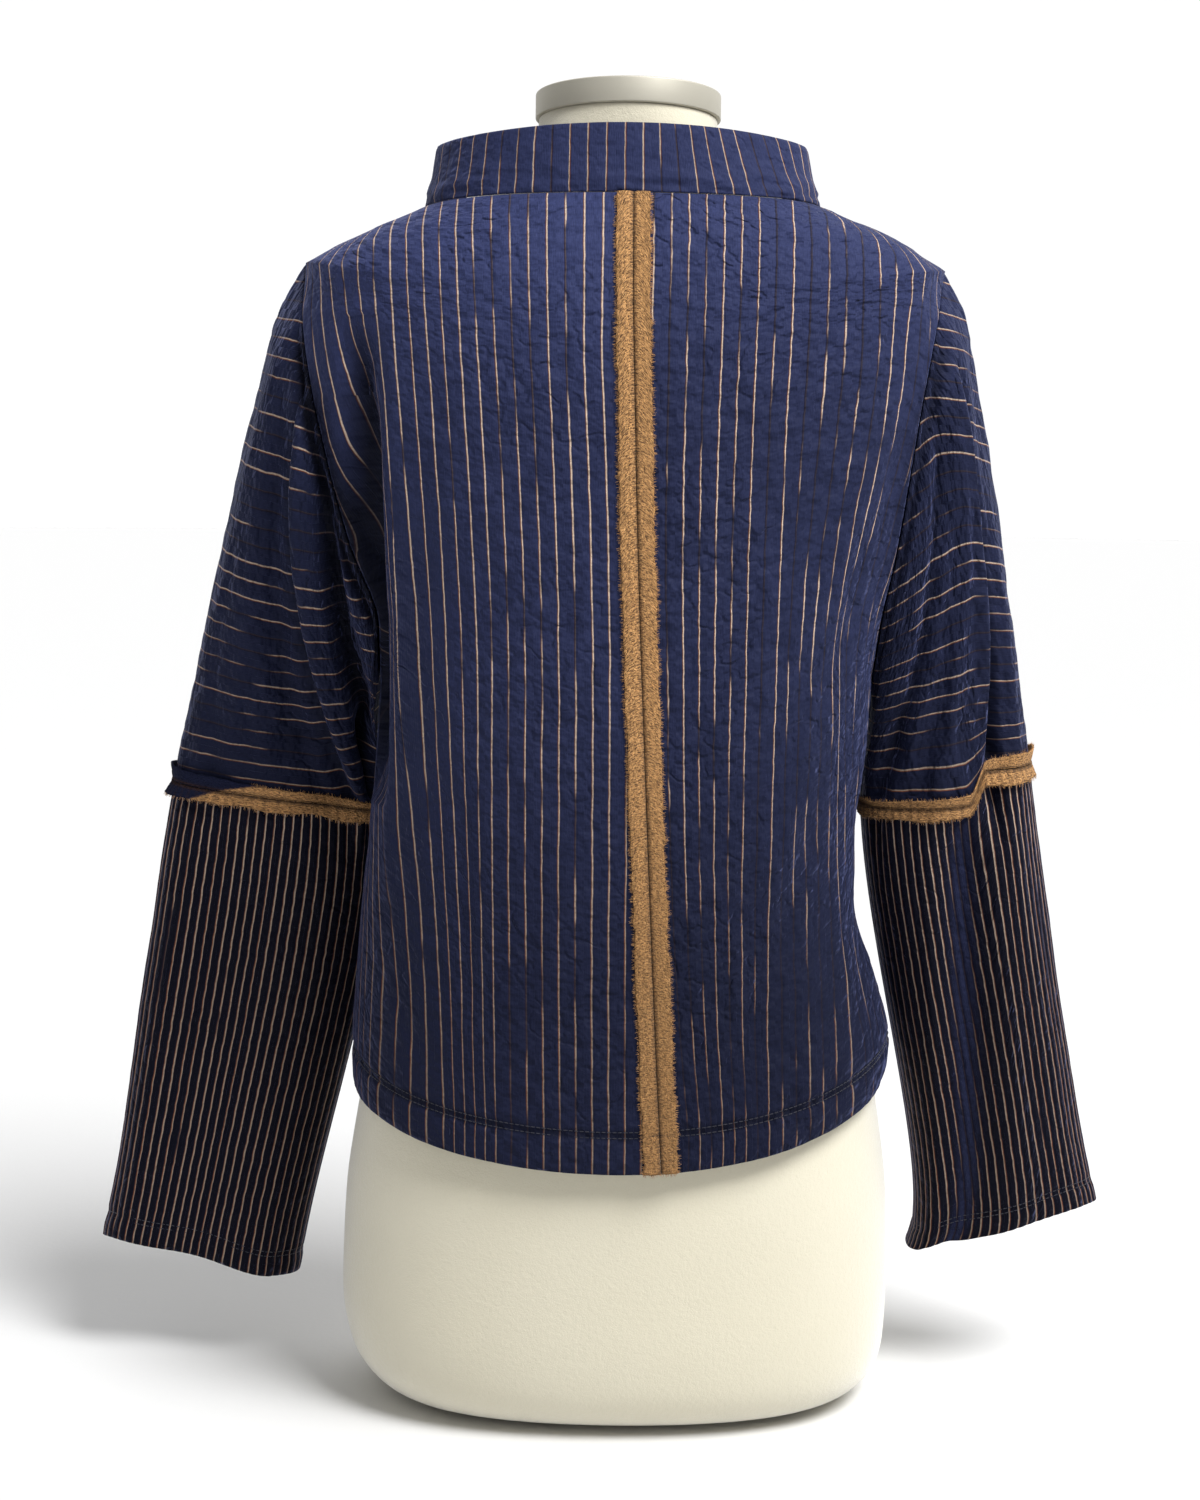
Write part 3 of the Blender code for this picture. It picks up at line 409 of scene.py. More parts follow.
class MockNeckStageSettings(bpy.types.PropertyGroup):
    """Floor, light and camera"""

    floor: bpy.props.FloatVectorProperty(
        name="Floor", description="Colour of the floor", subtype="COLOR", size=3, min=0, max=1,
        default=(0.77, 0.77, 0.77),
    )
    key_power: bpy.props.FloatProperty(
        name="Key light", description="Strength of the soft light above the camera",
        default=3.9, min=0, max=20,
    )
    backdrop: bpy.props.FloatProperty(
        name="Backdrop", description="Brightness of the studio behind the form",
        default=1.02, min=0, max=10,
    )
    camera_side: bpy.props.FloatProperty(
        name="Camera side", description="Brightness of the studio behind the camera",
        default=0.10, min=0, max=10,
    )
    overhead: bpy.props.FloatProperty(
        name="Overhead", description="What the light overhead adds", default=0.25, min=0, max=10,
    )
    focal_length: bpy.props.FloatProperty(
        name="Focal length", description="Focal length of the camera, in millimetres",
        default=59.9, min=10, max=300,
    )


# ---------------------------------------------------------------- curves through the tables
def smooth_column(places, values, at):
    """A monotone cubic through (places, values), read at some places: it never overshoots a row."""
    places, values, at = (np.asarray(a, float) for a in (places, values, at))
    step = np.diff(places)
    slope = np.diff(values) / step
    tangent = np.empty_like(values)
    tangent[0], tangent[-1] = slope[0], slope[-1]
    if len(values) > 2:
        before, after = slope[:-1], slope[1:]
        w_before, w_after = 2 * step[1:] + step[:-1], step[1:] + 2 * step[:-1]
        same_way = before * after > 0
        safe_before = np.where(same_way, before, 1.0)
        safe_after = np.where(same_way, after, 1.0)
        mean = (w_before + w_after) / (w_before / safe_before + w_after / safe_after)
        tangent[1:-1] = np.where(same_way, mean, 0.0)
    i = np.clip(np.searchsorted(places, at, side="right") - 1, 0, len(step) - 1)
    t = (at - places[i]) / step[i]
    return (
        values[i] * (1 + 2 * t) * (1 - t) ** 2
        + tangent[i] * step[i] * t * (1 - t) ** 2
        + values[i + 1] * t * t * (3 - 2 * t)
        + tangent[i + 1] * step[i] * t * t * (t - 1)
    )


def column(table, names, name):
    return np.array([row[names.index(name)] for row in table], float)


def body_column(name, level):
    """A column of the body's table at any level. Edge columns turn a corner at the underarm and the tip."""
    values = column(BODY_LEVELS, BODY_COLUMNS, name)
    places = np.arange(len(values), dtype=float)
    if name.startswith(("back", "front")):
        return smooth_column(places, values, level)
    level = np.asarray(level, float)
    result = np.empty_like(level)
    for first, last in ((0, UNDERARM), (UNDERARM, TIP), (TIP, NECK)):
        part = (level >= first) & (level <= last)
        rows = slice(first, last + 1)
        result[part] = smooth_column(places[rows], values[rows], level[part])
    return result


def full_cos(angle, square=SQUARENESS):
    return np.cos(angle) * (1 + square * np.sin(angle) ** 2)


def full_sin(angle, square=SQUARENESS):
    return np.sin(angle) * (1 + square * np.cos(angle) ** 2)


def smooth_step(low, high, value):
    """0 below low, 1 above high, and t*t*(3 - 2t) between them. low may be the larger."""
    t = np.clip((value - low) / (high - low), 0, 1)
    return t * t * (3 - 2 * t)


def between(value, low, high, rise, fall):
    """0 outside low and high, 1 inside, with soft steps of the widths rise and fall just inside them."""
    return smooth_step(low, low + rise, value) * smooth_step(high, high - fall, value)


def hump(value, width):
    """1 where the value is zero, fading to both sides: exp(-(value / width)^2)."""
    return np.exp(-((value / width) ** 2))


def wrapped(grid):
    """A grid with its first column once more at its end, where a tube meets itself."""
    return np.concatenate([grid, grid[:, :1]], axis=1)


def soft_noise(u, v, seed):
    """Random heights from -1 to 1 on the whole numbers of (u, v), blended between them by t*t*(3 - 2t)."""
    heights = np.random.default_rng(seed).uniform(-1, 1, (256, 256))
    u, v = np.broadcast_arrays(u, v)
    i, j = np.floor(u).astype(int), np.floor(v).astype(int)
    s, t = u - i, v - j
    s, t = s * s * (3 - 2 * s), t * t * (3 - 2 * t)
    i, j, i1, j1 = i % 256, j % 256, (i + 1) % 256, (j + 1) % 256
    low = heights[i, j] * (1 - s) + heights[i1, j] * s
    high = heights[i, j1] * (1 - s) + heights[i1, j1] * s
    return low * (1 - t) + high * t


def line_falloff(x, z, x0, z0, x1, z1, width):
    """1 on the line from (x0, z0) to (x1, z1), fading to 0 two widths away, and softly at its ends."""
    dx, dz = x1 - x0, z1 - z0
    along = ((x - x0) * dx + (z - z0) * dz) / (dx * dx + dz * dz)
    near = np.clip(along, 0, 1)
    away = np.hypot(x - x0 - near * dx, z - z0 - near * dz)
    ends = np.clip(4 * near * (1 - near), 0, 1) ** 0.5
    return hump(away, width) * ends


# ---------------------------------------------------------------- the body as a function of level and place
def section(angle, turn, edge, centre):
    """A quarter of a body section, from its edge (angle = turn) to the centre (angle = a right angle)."""
    share_x = full_cos(angle) / full_cos(turn)
    share_y = (1 - full_sin(angle)) / (1 - full_sin(turn))
    share_z = (np.cos(angle) / np.cos(turn)) ** 2
    x = edge[0] * share_x
    y = centre[1] + (edge[1] - centre[1]) * share_y
    z = centre[2] + (edge[2] - centre[2]) * share_z
    return np.stack([x, y, z], axis=-1)


def body_point(level, place, front=False):
    """A point of the body's outer face. place runs from 0 at the right edge over 1 at the centre to 2."""
    level, place = np.broadcast_arrays(np.asarray(level, float), np.asarray(place, float))
    on_right = place <= 1
    turn = np.radians(body_column("turn", level))
    share = np.where(on_right, place, 2 - place)
    angle = turn + (math.pi / 2 - turn) * share
    x = np.where(on_right, body_column("right_x", level), -body_column("left_x", level))
    z = np.where(on_right, body_column("right_z", level), body_column("left_z", level))
    arm_y = body_column("arm_y", level)
    face = "front" if front else "back"
    edge = (x, SIDE_Y + (arm_y if front else -arm_y), z)
    centre = (0, body_column(face + "_y", level), body_column(face + "_z", level))
    points = section(angle, turn, edge, centre)
    inside_edge = np.clip(share * 6, 0, 1)
    inwards = -1 if front else 1
    folds = FRONT_FOLDS if front else BACK_FOLDS
    points[..., 1] += inwards * inside_edge * fold_depth(points, folds)
    return points


def fold_depth(points, folds):
    """The sum of depth times line_falloff over a table of folds."""
    total = np.zeros(points.shape[:-1])
    for x0, z0, x1, z1, depth, width in folds:
        total += depth * line_falloff(points[..., 0], points[..., 2], x0, z0, x1, z1, width)
    return total


def unit(vectors):
    return vectors / np.linalg.norm(vectors, axis=-1, keepdims=True)


def body_normal(level, place, front=False):
    """The outward direction: the cross product of small steps up and across the face."""
    step = 1e-3
    low, high = np.clip(level - step, 0, NECK), np.clip(level + step, 0, NECK)
    up = body_point(high, place, front) - body_point(low, place, front)
    left, right = np.clip(place - step, 0, 2), np.clip(place + step, 0, 2)
    across = body_point(level, right, front) - body_point(level, left, front)
    return unit(np.cross(up, across) * (-1 if front else 1))


def centre_seam_place(level, offset=0.0):
    """The place of the centre back seam, which drifts to the wearer's right, or of a line beside it."""
    seam = smooth_column(*np.array(CENTRE_SEAM, float).T, level) + offset
    share = np.linspace(0, 2, 801)
    x = body_point(np.asarray(level, float)[..., None], share)[..., 0]
    return np.array([np.interp(-s, -row, share) for s, row in zip(np.ravel(seam), x.reshape(-1, 801))])


def fine_levels(rows):
    """Levels from hem to neck seam, with a row at the underarm and at the shoulder tip."""
    side, shoulder = round(rows * 0.49), round(rows * 0.08)
    arm = rows - side - shoulder
    return np.concatenate([
        np.linspace(0, UNDERARM, side, endpoint=False),
        np.linspace(UNDERARM, TIP, arm, endpoint=False),
        np.linspace(TIP, NECK, shoulder + 1),
    ])


def seam_inset(level, front=False):
    """How far, as a share of the section's quarter, a piece stops short of the edge seam."""
    step = 1e-3
    move = body_point(level, step, front) - body_point(level, 0.0, front)
    return SEAM_GAP / 2 * step / np.linalg.norm(move, axis=-1)


def length_along(points, axis):
    """Running length of a grid's lines along one axis: the sum of the distances between its points."""
    steps = np.linalg.norm(np.diff(points, axis=axis), axis=-1)
    start = np.zeros_like(np.take(steps, [0], axis=axis))
    return np.concatenate([start, np.cumsum(steps, axis=axis)], axis=axis)


def run_along(line):
    """Running length of one line of points."""
    return np.concatenate([[0], np.cumsum(np.linalg.norm(np.diff(line, axis=0), axis=1))])


def read_line(at, run, values):
    """The values of a line's points, read at some running lengths."""
    return np.stack([np.interp(at, run, values[:, k]) for k in range(3)], axis=-1)


# ---------------------------------------------------------------- the sleeves
def away_from_body(angle):
    """1 round most of a sleeve, and 0 on the narrow strip that lies against the body."""
    return smooth_step(0.99, 0.90, (1 - np.cos(angle)) / 2)


def rise_at(table, angle):
    places, values = np.array(table, float).T
    return smooth_column(places, values, np.degrees(angle) % 360)


def sleeve_ring(name, number, angle):
    """A ring of the hanging sleeve. The angle is 0 at its outer line and a right angle at its back."""
    x, y, z, half_width, half_depth, lean = SLEEVE_RINGS[name][number]
    across = half_width * full_cos(angle)
    rise = across * math.sin(math.radians(lean))
    if number == 0:
        rise = rise + rise_at(ELBOW_RISE[name], angle)
    elif number == 3:
        rise = rise + rise_at(CUFF_RISE[name], angle)
    out = x + across * math.cos(math.radians(lean))
    return np.stack([SIDE[name] * out, y - half_depth * full_sin(angle), z + rise], axis=-1)


def forearm_point(name, angle, place):
    """Below the elbow seam: the cubic through the four rings, which it meets at the places 0 to 3."""
    total = 0
    for number in range(4):
        others = [other for other in range(4) if other != number]
        weight = np.prod([(place - other) / (number - other) for other in others], axis=0)
        total = total + sleeve_ring(name, number, angle) * weight[..., None]
    return total


def armhole_point(name, angle):
    """The armhole seam, a closed line: angle 0 at the shoulder tip, then down the back to the underarm."""
    number = (np.degrees(angle) % 360) / 180
    on_back = number <= 1
    level = np.where(on_back, TIP - (TIP - UNDERARM) * number, UNDERARM + (TIP - UNDERARM) * (number - 1))
    place = np.full_like(level, 0.0 if SIDE[name] > 0 else 2.0)
    return np.where(on_back[..., None], body_point(level, place), body_point(level, place, front=True))


def body_side(name, points):
    """Half the body's width where a point beside it lies."""
    levels = np.linspace(0, TIP, 49)
    edge_z = body_column(name + "_z", levels)
    edge_x, arm_y, turn, back_y, front_y = (
        np.interp(points[..., 2], edge_z, body_column(column_name, levels))
        for column_name in (name + "_x", "arm_y", "turn", "back_y", "front_y")
    )
    turn = np.radians(turn)
    depth = np.where(points[..., 1] > SIDE_Y, front_y - SIDE_Y, SIDE_Y - back_y)
    inwards = (depth - np.abs(points[..., 1] - SIDE_Y)) / (depth - arm_y)
    share = np.clip(1 - inwards * (1 - full_sin(turn)), 0, 1)
    half_width = edge_x / full_cos(turn) * (1 - share**SECTION_POWER) ** (1 / SECTION_POWER)
    return np.minimum(half_width, edge_x)


def sleeve_point(name, angle, along):
    """A point of the sleeve's outer face: a cubic from the armhole (along 0) to the elbow seam (1), then
    the cubic through the rings down to the cuff (2), with the folds added and the body kept clear."""
    side = SIDE[name]
    angle, along = np.broadcast_arrays(np.asarray(angle, float), np.asarray(along, float))
    start = armhole_point(name, angle) + np.array([side * SLEEVE_START_GAP, 0, 0])
    elbow = forearm_point(name, angle, np.zeros_like(angle))
    arrive = forearm_point(name, angle, np.full_like(angle, 0.02)) - elbow
    reach = np.linalg.norm(elbow - start, axis=-1, keepdims=True)
    arrive *= reach / np.linalg.norm(arrive, axis=-1, keepdims=True)
    out = rise_at(SLEEVE_LEAD, angle)
    lead = np.stack([side * out, 0 * out, -np.sqrt(1 - out * out)], axis=-1)
    lead *= reach * SLEEVE_LEAD_LENGTH
    t = np.clip(along, 0, 1)[..., None]
    upper = (
        start * (1 + 2 * t) * (1 - t) ** 2
        + lead * t * (1 - t) ** 2
        + elbow * t * t * (3 - 2 * t)
        + arrive * t * t * (t - 1)
    )
    lower = forearm_point(name, angle, 3 * np.clip(along - 1, 0, 1))
    points = np.where((along <= 1)[..., None], upper, lower)
    push = -tube_folds(SLEEVE_FOLDS[name], angle, along) * np.clip(along / 0.12, 0, 1)
    outwards = np.stack([side * 0.5 * np.cos(angle), -np.sin(angle), 0 * angle], axis=-1)
    points = points + push[..., None] * outwards
    beside = points[..., 2] < BESIDE_BODY_BELOW
    clear = np.clip(along / 0.25, 0, 1) * SLEEVE_CLEARANCE + SLEEVE_START_GAP
    least = np.where(beside & (along > 0), body_side(name, points) + clear, 0)
    points[..., 0] = side * np.maximum(side * points[..., 0], least)
    return points


def tube_folds(folds, angle, along):
    """Depth of the folds that run along a tube: depth * exp(-(away / width)^2), faded in and out."""
    degrees = np.degrees(angle) % 360
    total = np.zeros_like(degrees)
    for round0, along0, round1, along1, depth, width in folds:
        share = np.clip((along - along0) / (along1 - along0), 0, 1)
        away = (degrees - (round0 + (round1 - round0) * share) + 180) % 360 - 180
        fade_in = np.clip((along - along0) / 0.25 + 0.5, 0, 1)
        fade_out = np.clip((along1 - along) / 0.15 + 1.0, 0, 1)
        total += depth * hump(away, width) * fade_in * fade_out
    return total


def sleeve_normal(name, angle, along):
    """The outward direction, from steps along the sleeve and round it."""
    step, turn = 0.02, math.radians(10)
    low, high = np.clip(along - step, 0, 2), np.clip(along + step, 0, 2)
    down = sleeve_point(name, angle, high) - sleeve_point(name, angle, low)
    around = sleeve_point(name, angle + turn, along) - sleeve_point(name, angle - turn, along)
    return unit(np.cross(around, down) * SIDE[name])


# ---------------------------------------------------------------- closed sections of collar and form
def closed_section(table, names, level, angle):
    """A whole section round the body: angle 0 at the wearer's right, a right angle at the back."""
    places = np.arange(len(table), dtype=float)
    value = {n: smooth_column(places, column(table, names, n), level) for n in names}
    right = np.cos(angle) >= 0
    back = np.sin(angle) >= 0
    edge_x = np.where(right, value["right_x"], value["left_x"])
    edge_z = np.where(right, value["right_z"], value["left_z"])
    centre_y = np.where(back, value["back_y"], value["front_y"])
    centre_z = np.where(back, value["back_z"], value["front_z"])
    square = value.get("square", SQUARENESS)
    x = edge_x * full_cos(angle, square)
    y = SIDE_Y + (centre_y - SIDE_Y) * np.abs(full_sin(angle, square))
    return np.stack([x, y, centre_z + (edge_z - centre_z) * np.cos(angle) ** 2], axis=-1)


# ---------------------------------------------------------------- meshes
def mesh_piece(name, points, faces, material, corner_uv=None):
    """A finished piece from whole arrays: smooth faces that point outwards, riding on the body."""
    points, faces = np.asarray(points, float), np.asarray(faces)
    first, second, third = (points[faces[:, k]] for k in (0, 1, 2))
    last = points[faces[:, -1]]
    volume = (first * (np.cross(second, third) + np.cross(third, last))).sum()
    if volume < 0:
        faces = faces[:, ::-1]
        corner_uv = None if corner_uv is None else corner_uv[:, ::-1]
    mesh = bpy.data.meshes.new(name)
    mesh.from_pydata(points.tolist(), [], faces.tolist())
    mesh.polygons.foreach_set("use_smooth", np.ones(len(faces), bool))
    if corner_uv is not None:
        layer = mesh.uv_layers.new(name="cloth")
        layer.data.foreach_set("uv", np.ascontiguousarray(corner_uv, np.float32).ravel())
    mesh.materials.append(material)
    mesh.update()
    piece = bpy.data.objects.new(name, mesh)
    bpy.context.scene.collection.objects.link(piece)
    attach(piece, "root")
    return piece


def grid_faces(grid):
    return np.stack([grid[:-1, :-1], grid[:-1, 1:], grid[1:, 1:], grid[1:, :-1]], axis=-1).reshape(-1, 4)


def cloth_wall(name, outer, inner, cloth_uv, material, round_tube=False):
    """A closed wall between two grids of points, with a rim along each open edge. cloth_uv gives each
    point's place on the flat cloth, in metres. On a tube it has one more column, where the cloth meets
    itself."""
    rows, columns = outer.shape[:2]
    count = rows * columns
    index = np.arange(count).reshape(rows, columns)
    if round_tube:
        index = wrapped(index)
    spot = np.arange(index.size).reshape(index.shape)
    faces = [grid_faces(index), grid_faces(index)[:, ::-1] + count]
    corners = [grid_faces(spot), grid_faces(spot)[:, ::-1]]
    borders = [(index[0], spot[0]), (index[-1][::-1], spot[-1][::-1])]
    if not round_tube:
        borders += [(index[::-1, 0], spot[::-1, 0]), (index[:, -1], spot[:, -1])]
    for line, place in borders:
        faces.append(np.stack([line[1:], line[:-1], line[:-1] + count, line[1:] + count], axis=-1))
        corners.append(np.stack([place[1:], place[:-1], place[:-1], place[1:]], axis=-1))
    points = np.concatenate([outer.reshape(-1, 3), inner.reshape(-1, 3)])
    corner_uv = cloth_uv.reshape(-1, 2)[np.concatenate(corners)]
    return mesh_piece(name, points, np.concatenate(faces), material, corner_uv)


def paint(piece, name, values):
    """Gives each point of a cloth wall a value, the same on its face and on its inner side."""
    attribute = piece.data.attributes.new(name, "FLOAT", "POINT")
    attribute.data.foreach_set("value", np.concatenate([values, values]).astype(np.float32).ravel())


def rib_relief(across, along, pitch, settings, seed, crinkle=1.0):
    """Height of the cloth's face: a dip at each stripe, and puckers that differ from rib to rib."""
    number = across / pitch
    rib = np.floor(number)
    from_stripe = np.minimum(number - rib, rib + 1 - number) * pitch
    dip = -settings.rib_height * hump(from_stripe, 0.0016)
    swell = np.sin(np.pi * (number - rib)) ** 0.7
    puckers = soft_noise(rib * 1.37, along / 0.0062, seed)
    puckers = puckers + 0.7 * soft_noise(number * 0.45, along / 0.0120, seed + 1)
    strength = 0.55 + 0.45 * soft_noise(number * 0.31, along / 0.060, seed + 3)
    broad = soft_noise(across / 0.026, along / 0.038, seed + 2)
    broad = broad + 0.5 * soft_noise(across / 0.012, along / 0.019, seed + 4)
    return dip + settings.crinkle * crinkle * (swell * puckers * strength + 1.1 * broad)


# ---------------------------------------------------------------- node trees
class Nodes:
    """Short ways to add and join shader nodes in one material."""

    def __init__(self, name):
        self.material = bpy.data.materials.new(name)
        self.material.use_nodes = True
        self.tree = self.material.node_tree
        self.shader = self.tree.nodes["Principled BSDF"]

    def add(self, kind, inputs=(), **options):
        """A node with its options set. inputs gives values for its sockets, in order or by name."""
        node = self.tree.nodes.new(kind)
        for key, value in options.items():
            setattr(node, key, value)
        named = inputs if isinstance(inputs, dict) else dict(enumerate(inputs))
        for key, value in named.items():
            self.put(value, node.inputs[key])
        return node

    def put(self, value, socket):
        """Joins an output to a socket, or sets the socket to a plain value."""
        if isinstance(value, bpy.types.NodeSocket):
            self.tree.links.new(value, socket)
        elif socket.type == "RGBA":
            socket.default_value = (*value, 1.0)
        else:
            socket.default_value = value

    def math(self, operation, *values):
        return self.add("ShaderNodeMath", values, operation=operation).outputs[0]

    def times(self, *values):
        """The product of two values or more."""
        total = values[0]
        for value in values[1:]:
            total = self.math("MULTIPLY", total, value)
        return total

    def ramp(self, value, low, high, to_low=0.0, to_high=1.0):
        """Smoothly from to_low at low to to_high at high."""
        inputs = (value, low, high, to_low, to_high)
        return self.add("ShaderNodeMapRange", inputs, interpolation_type="SMOOTHSTEP").outputs[0]

    def mix(self, share, first, second):
        inputs = {"Factor": share, 6: first, 7: second}
        return self.add("ShaderNodeMix", inputs, data_type="RGBA").outputs[2]

    def vector(self, x, y, z=0.0):
        return self.add("ShaderNodeCombineXYZ", (x, y, z)).outputs[0]

    def split(self, vector):
        return self.add("ShaderNodeSeparateXYZ", (vector,)).outputs

    def noise(self, vector, scale, detail=2.0, roughness=0.5):
        inputs = {"Vector": vector, "Scale": scale, "Detail": detail, "Roughness": roughness}
        return self.add("ShaderNodeTexNoise", inputs).outputs["Fac"]

    def cloth_noise(self, place, steps, seed=0.0, detail=2.0, roughness=0.5):
        """Noise over the flat cloth, with its own number of steps a metre across and along."""
        x, y = (self.math("MULTIPLY", item, step) for item, step in zip(place, steps))
        return self.noise(self.vector(x, y, seed), 1.0, detail, roughness)

    def random(self, number):
        return self.add("ShaderNodeTexWhiteNoise", {"W": number}, noise_dimensions="1D").outputs["Value"]

    def cloth_place(self):
        """Metres across and along the flat cloth, from the piece's own map."""
        split = self.split(self.add("ShaderNodeUVMap", uv_map="cloth").outputs[0])
        return split[0], split[1]

    def object_place(self):
        return self.add("ShaderNodeTexCoord").outputs["Object"]

    def painted(self, name):
        """A value that is painted on the piece's points."""
        return self.add("ShaderNodeAttribute", attribute_name=name).outputs["Fac"]

    def bump(self, height, distance, normal=None):
        inputs = {"Strength": 1.0, "Distance": distance, "Height": height}
        if normal is not None:
            inputs["Normal"] = normal
        return self.add("ShaderNodeBump", inputs).outputs[0]

    def finish(self, colour, roughness, normal, **sockets):
        """Joins the finish to the shader. A plain value goes on the shader's own socket."""
        values = {"Base Color": colour, "Roughness": roughness, "Normal": normal}
        values.update((key.replace("_", " "), value) for key, value in sockets.items())
        for key, value in values.items():
            self.put(value, self.shader.inputs[key])
        return self.material


# ---------------------------------------------------------------- finishes
# Of the navy cloth. tint: share of the face's colour, a painted shade that makes the right panel, collar
# and sleeves
# darker copies of the same cloth. steady: how much of each line shows. groove: width of the dip beside a
# line.
# puckers: height of the crepe. wavy: how far a line wanders, as a share of the spacing. thin and wide: half
# widths of the thinnest and the widest line. tone: brightness of the lines.
FINISH_COLUMNS = "tint seed steady groove puckers wavy thin wide tone".split()
PINSTRIPE_FINISHES = {
    "body": (1.00, 3.0, 0.66, 0.0010, 0.0058, 0.05, 0.00030, 0.00050, 1.00),
    "right": (0.84, 11.0, 0.40, 0.0011, 0.0066, 0.11, 0.00030, 0.00050, 1.00),
    "collar": (0.66, 7.0, 0.56, 0.0009, 0.0034, 0.06, 0.00022, 0.00040, 0.75),
    "sleeve": (0.60, 23.0, 0.46, 0.0010, 0.0066, 0.08, 0.00030, 0.00050, 0.75),
    "forearm": (1.00, 31.0, 0.88, 0.0016, 0.0042, 0.17, 0.00022, 0.00044, 1.25),
}
MATERIAL_NAMES = {
    "body": "navy_pinstripe",
    "right": "navy_pinstripe_right",
    "collar": "navy_pinstripe_collar",
    "sleeve": "navy_pinstripe_sleeve",
    "forearm": "forearm_pinstripe",
    "copper": "copper_reverse_cloth",
    "stitch": "navy_thread",
    "yarn": "copper_yarn",
}
# painted shadow: a brown band drawn on one side of each stripe, partly the reverse showing through
BROWN_SHADOW = (0.150, 0.050, 0.022)  # the rib's shaded side, where the reverse shows through
BROWN_SHADOW_REACH = (0.00018, 0.00064)  # from its middle: where it starts to fade, and where it ends
KNIT_PITCH = 0.0011  # from one fine wale of the face to the next
RIB_APART = 0.009375  # shift of the crepe from rib to rib, so puckers stop at the stripes
SHEEN_BLUE = (0.34, 0.40, 0.85)
SHEEN_COPPER = (1.0, 0.82, 0.62)
COPPER_SPECK = (0.095, 0.047, 0.028)
COPPER_TIP = (0.78, 0.50, 0.24)
COPPER_CELL = (0.20, 0.105, 0.050)
COPPER_LOW = (0.17, 0.088, 0.032)
COPPER_SEAM = (0.050, 0.026, 0.018)
STITCH_COLOUR = (0.011, 0.012, 0.028)
YARN_ROUGHNESS = 0.9
JERSEY_WEAR = (0.965, 0.955, 0.92)
FOREARM_ROUND = 0.352  # metres round a forearm piece


def tinted(colour, share):
    return tuple(c * share for c in colour)


def forearm_pitch(settings):
    return FOREARM_ROUND / settings.forearm_stripes


def stripe_offset(n, place, pitch, finish):
    """The rib that a point is on, and its distance from the stripe there. Stripes waver a little."""
    across, seed = place[0], finish["seed"]
    waver = n.cloth_noise(place, (25.0, 30.0), seed)
    shiver = n.cloth_noise(place, (60.0, 125.0), seed, 1.0)
    for wander, share in ((waver, 0.13), (shiver, finish["wavy"])):
        across = n.math("ADD", across, n.times(n.math("SUBTRACT", wander, 0.5), pitch * share))
    number = n.math("DIVIDE", across, pitch)
    rib = n.math("FLOOR", n.math("ADD", number, 0.5))
    return rib, n.times(n.math("SUBTRACT", number, rib), pitch)


def line_strength(n, rib, along, finish):
    """How far a line shows: it comes and goes along its rib, and fades in a valley or a deep fold."""
    steady, seed = finish["steady"], finish["seed"]
    chance = n.random(n.math("ADD", rib, seed))
    come_and_go = n.cloth_noise((rib, along), (3.71, 14.0), seed, 2.5, 0.6)
    shown = n.math("ADD", come_and_go, n.times(n.math("SUBTRACT", chance, 0.5), 0.24))
    strength = n.ramp(shown, 0.60 - 0.4 * steady, 0.71 - 0.4 * steady, 0.25 * steady * steady, 1.0)
    in_valley = n.ramp(n.painted("faded"), 0.0, 0.7, 1.0, 0.05)
    # painted shade: a line dims where the cloth is drawn darker in a fold
    in_fold = n.ramp(n.painted("deep"), 0.0, 1.0, 1.0, 0.12)
    return n.times(strength, in_valley, in_fold)


def face_colour(n, place, face, fine, offset, finish, settings):
    """The navy face: mottled, with painted light that makes it paler at the shoulders, and painted shade
    that makes it darker low down, in folds and beside each stripe.
    """
    height = n.split(n.object_place())[2]
    mottle = n.cloth_noise(place, (55.0, 30.0), finish["seed"] + 4, 3.0)
    beside = n.math("ABSOLUTE", n.math("ADD", offset, finish["groove"] * 0.3))
    groove = n.ramp(beside, finish["groove"] * 0.30, finish["groove"], 0.85, 0.0)
    worn = tuple(c + 0.002 for c in tinted(face, 1.5))
    colour = face
    for share, other in (
        (n.ramp(mottle, 0.3, 0.7, 0.0, 0.35), worn),
        # painted light: the face is drawn paler towards the shoulders, where the light from above falls
        (n.ramp(height, 0.60, 0.78, 0.0, 0.85), tinted(face, 2.2)),
        # painted shade: the face is drawn darker low down on the garment
        (n.ramp(height, 0.54, 0.26, 0.0, 0.85), tinted(face, 0.38)),
        (n.painted("faded"), tuple(settings.navy)),
        # painted shade: the face is drawn almost black in deep creases, beside the armhole seam and at the
        # hem's stitches
        (n.times(n.painted("deep"), 0.92), tinted(face, 0.08)),
        (n.ramp(fine, 0.35, 0.7, 0.0, 0.30), tinted(face, 0.45)),
        # painted shade in the dip beside each stripe
        (groove, tuple(settings.groove)),
    ):
        colour = n.mix(share, colour, other)
    return colour


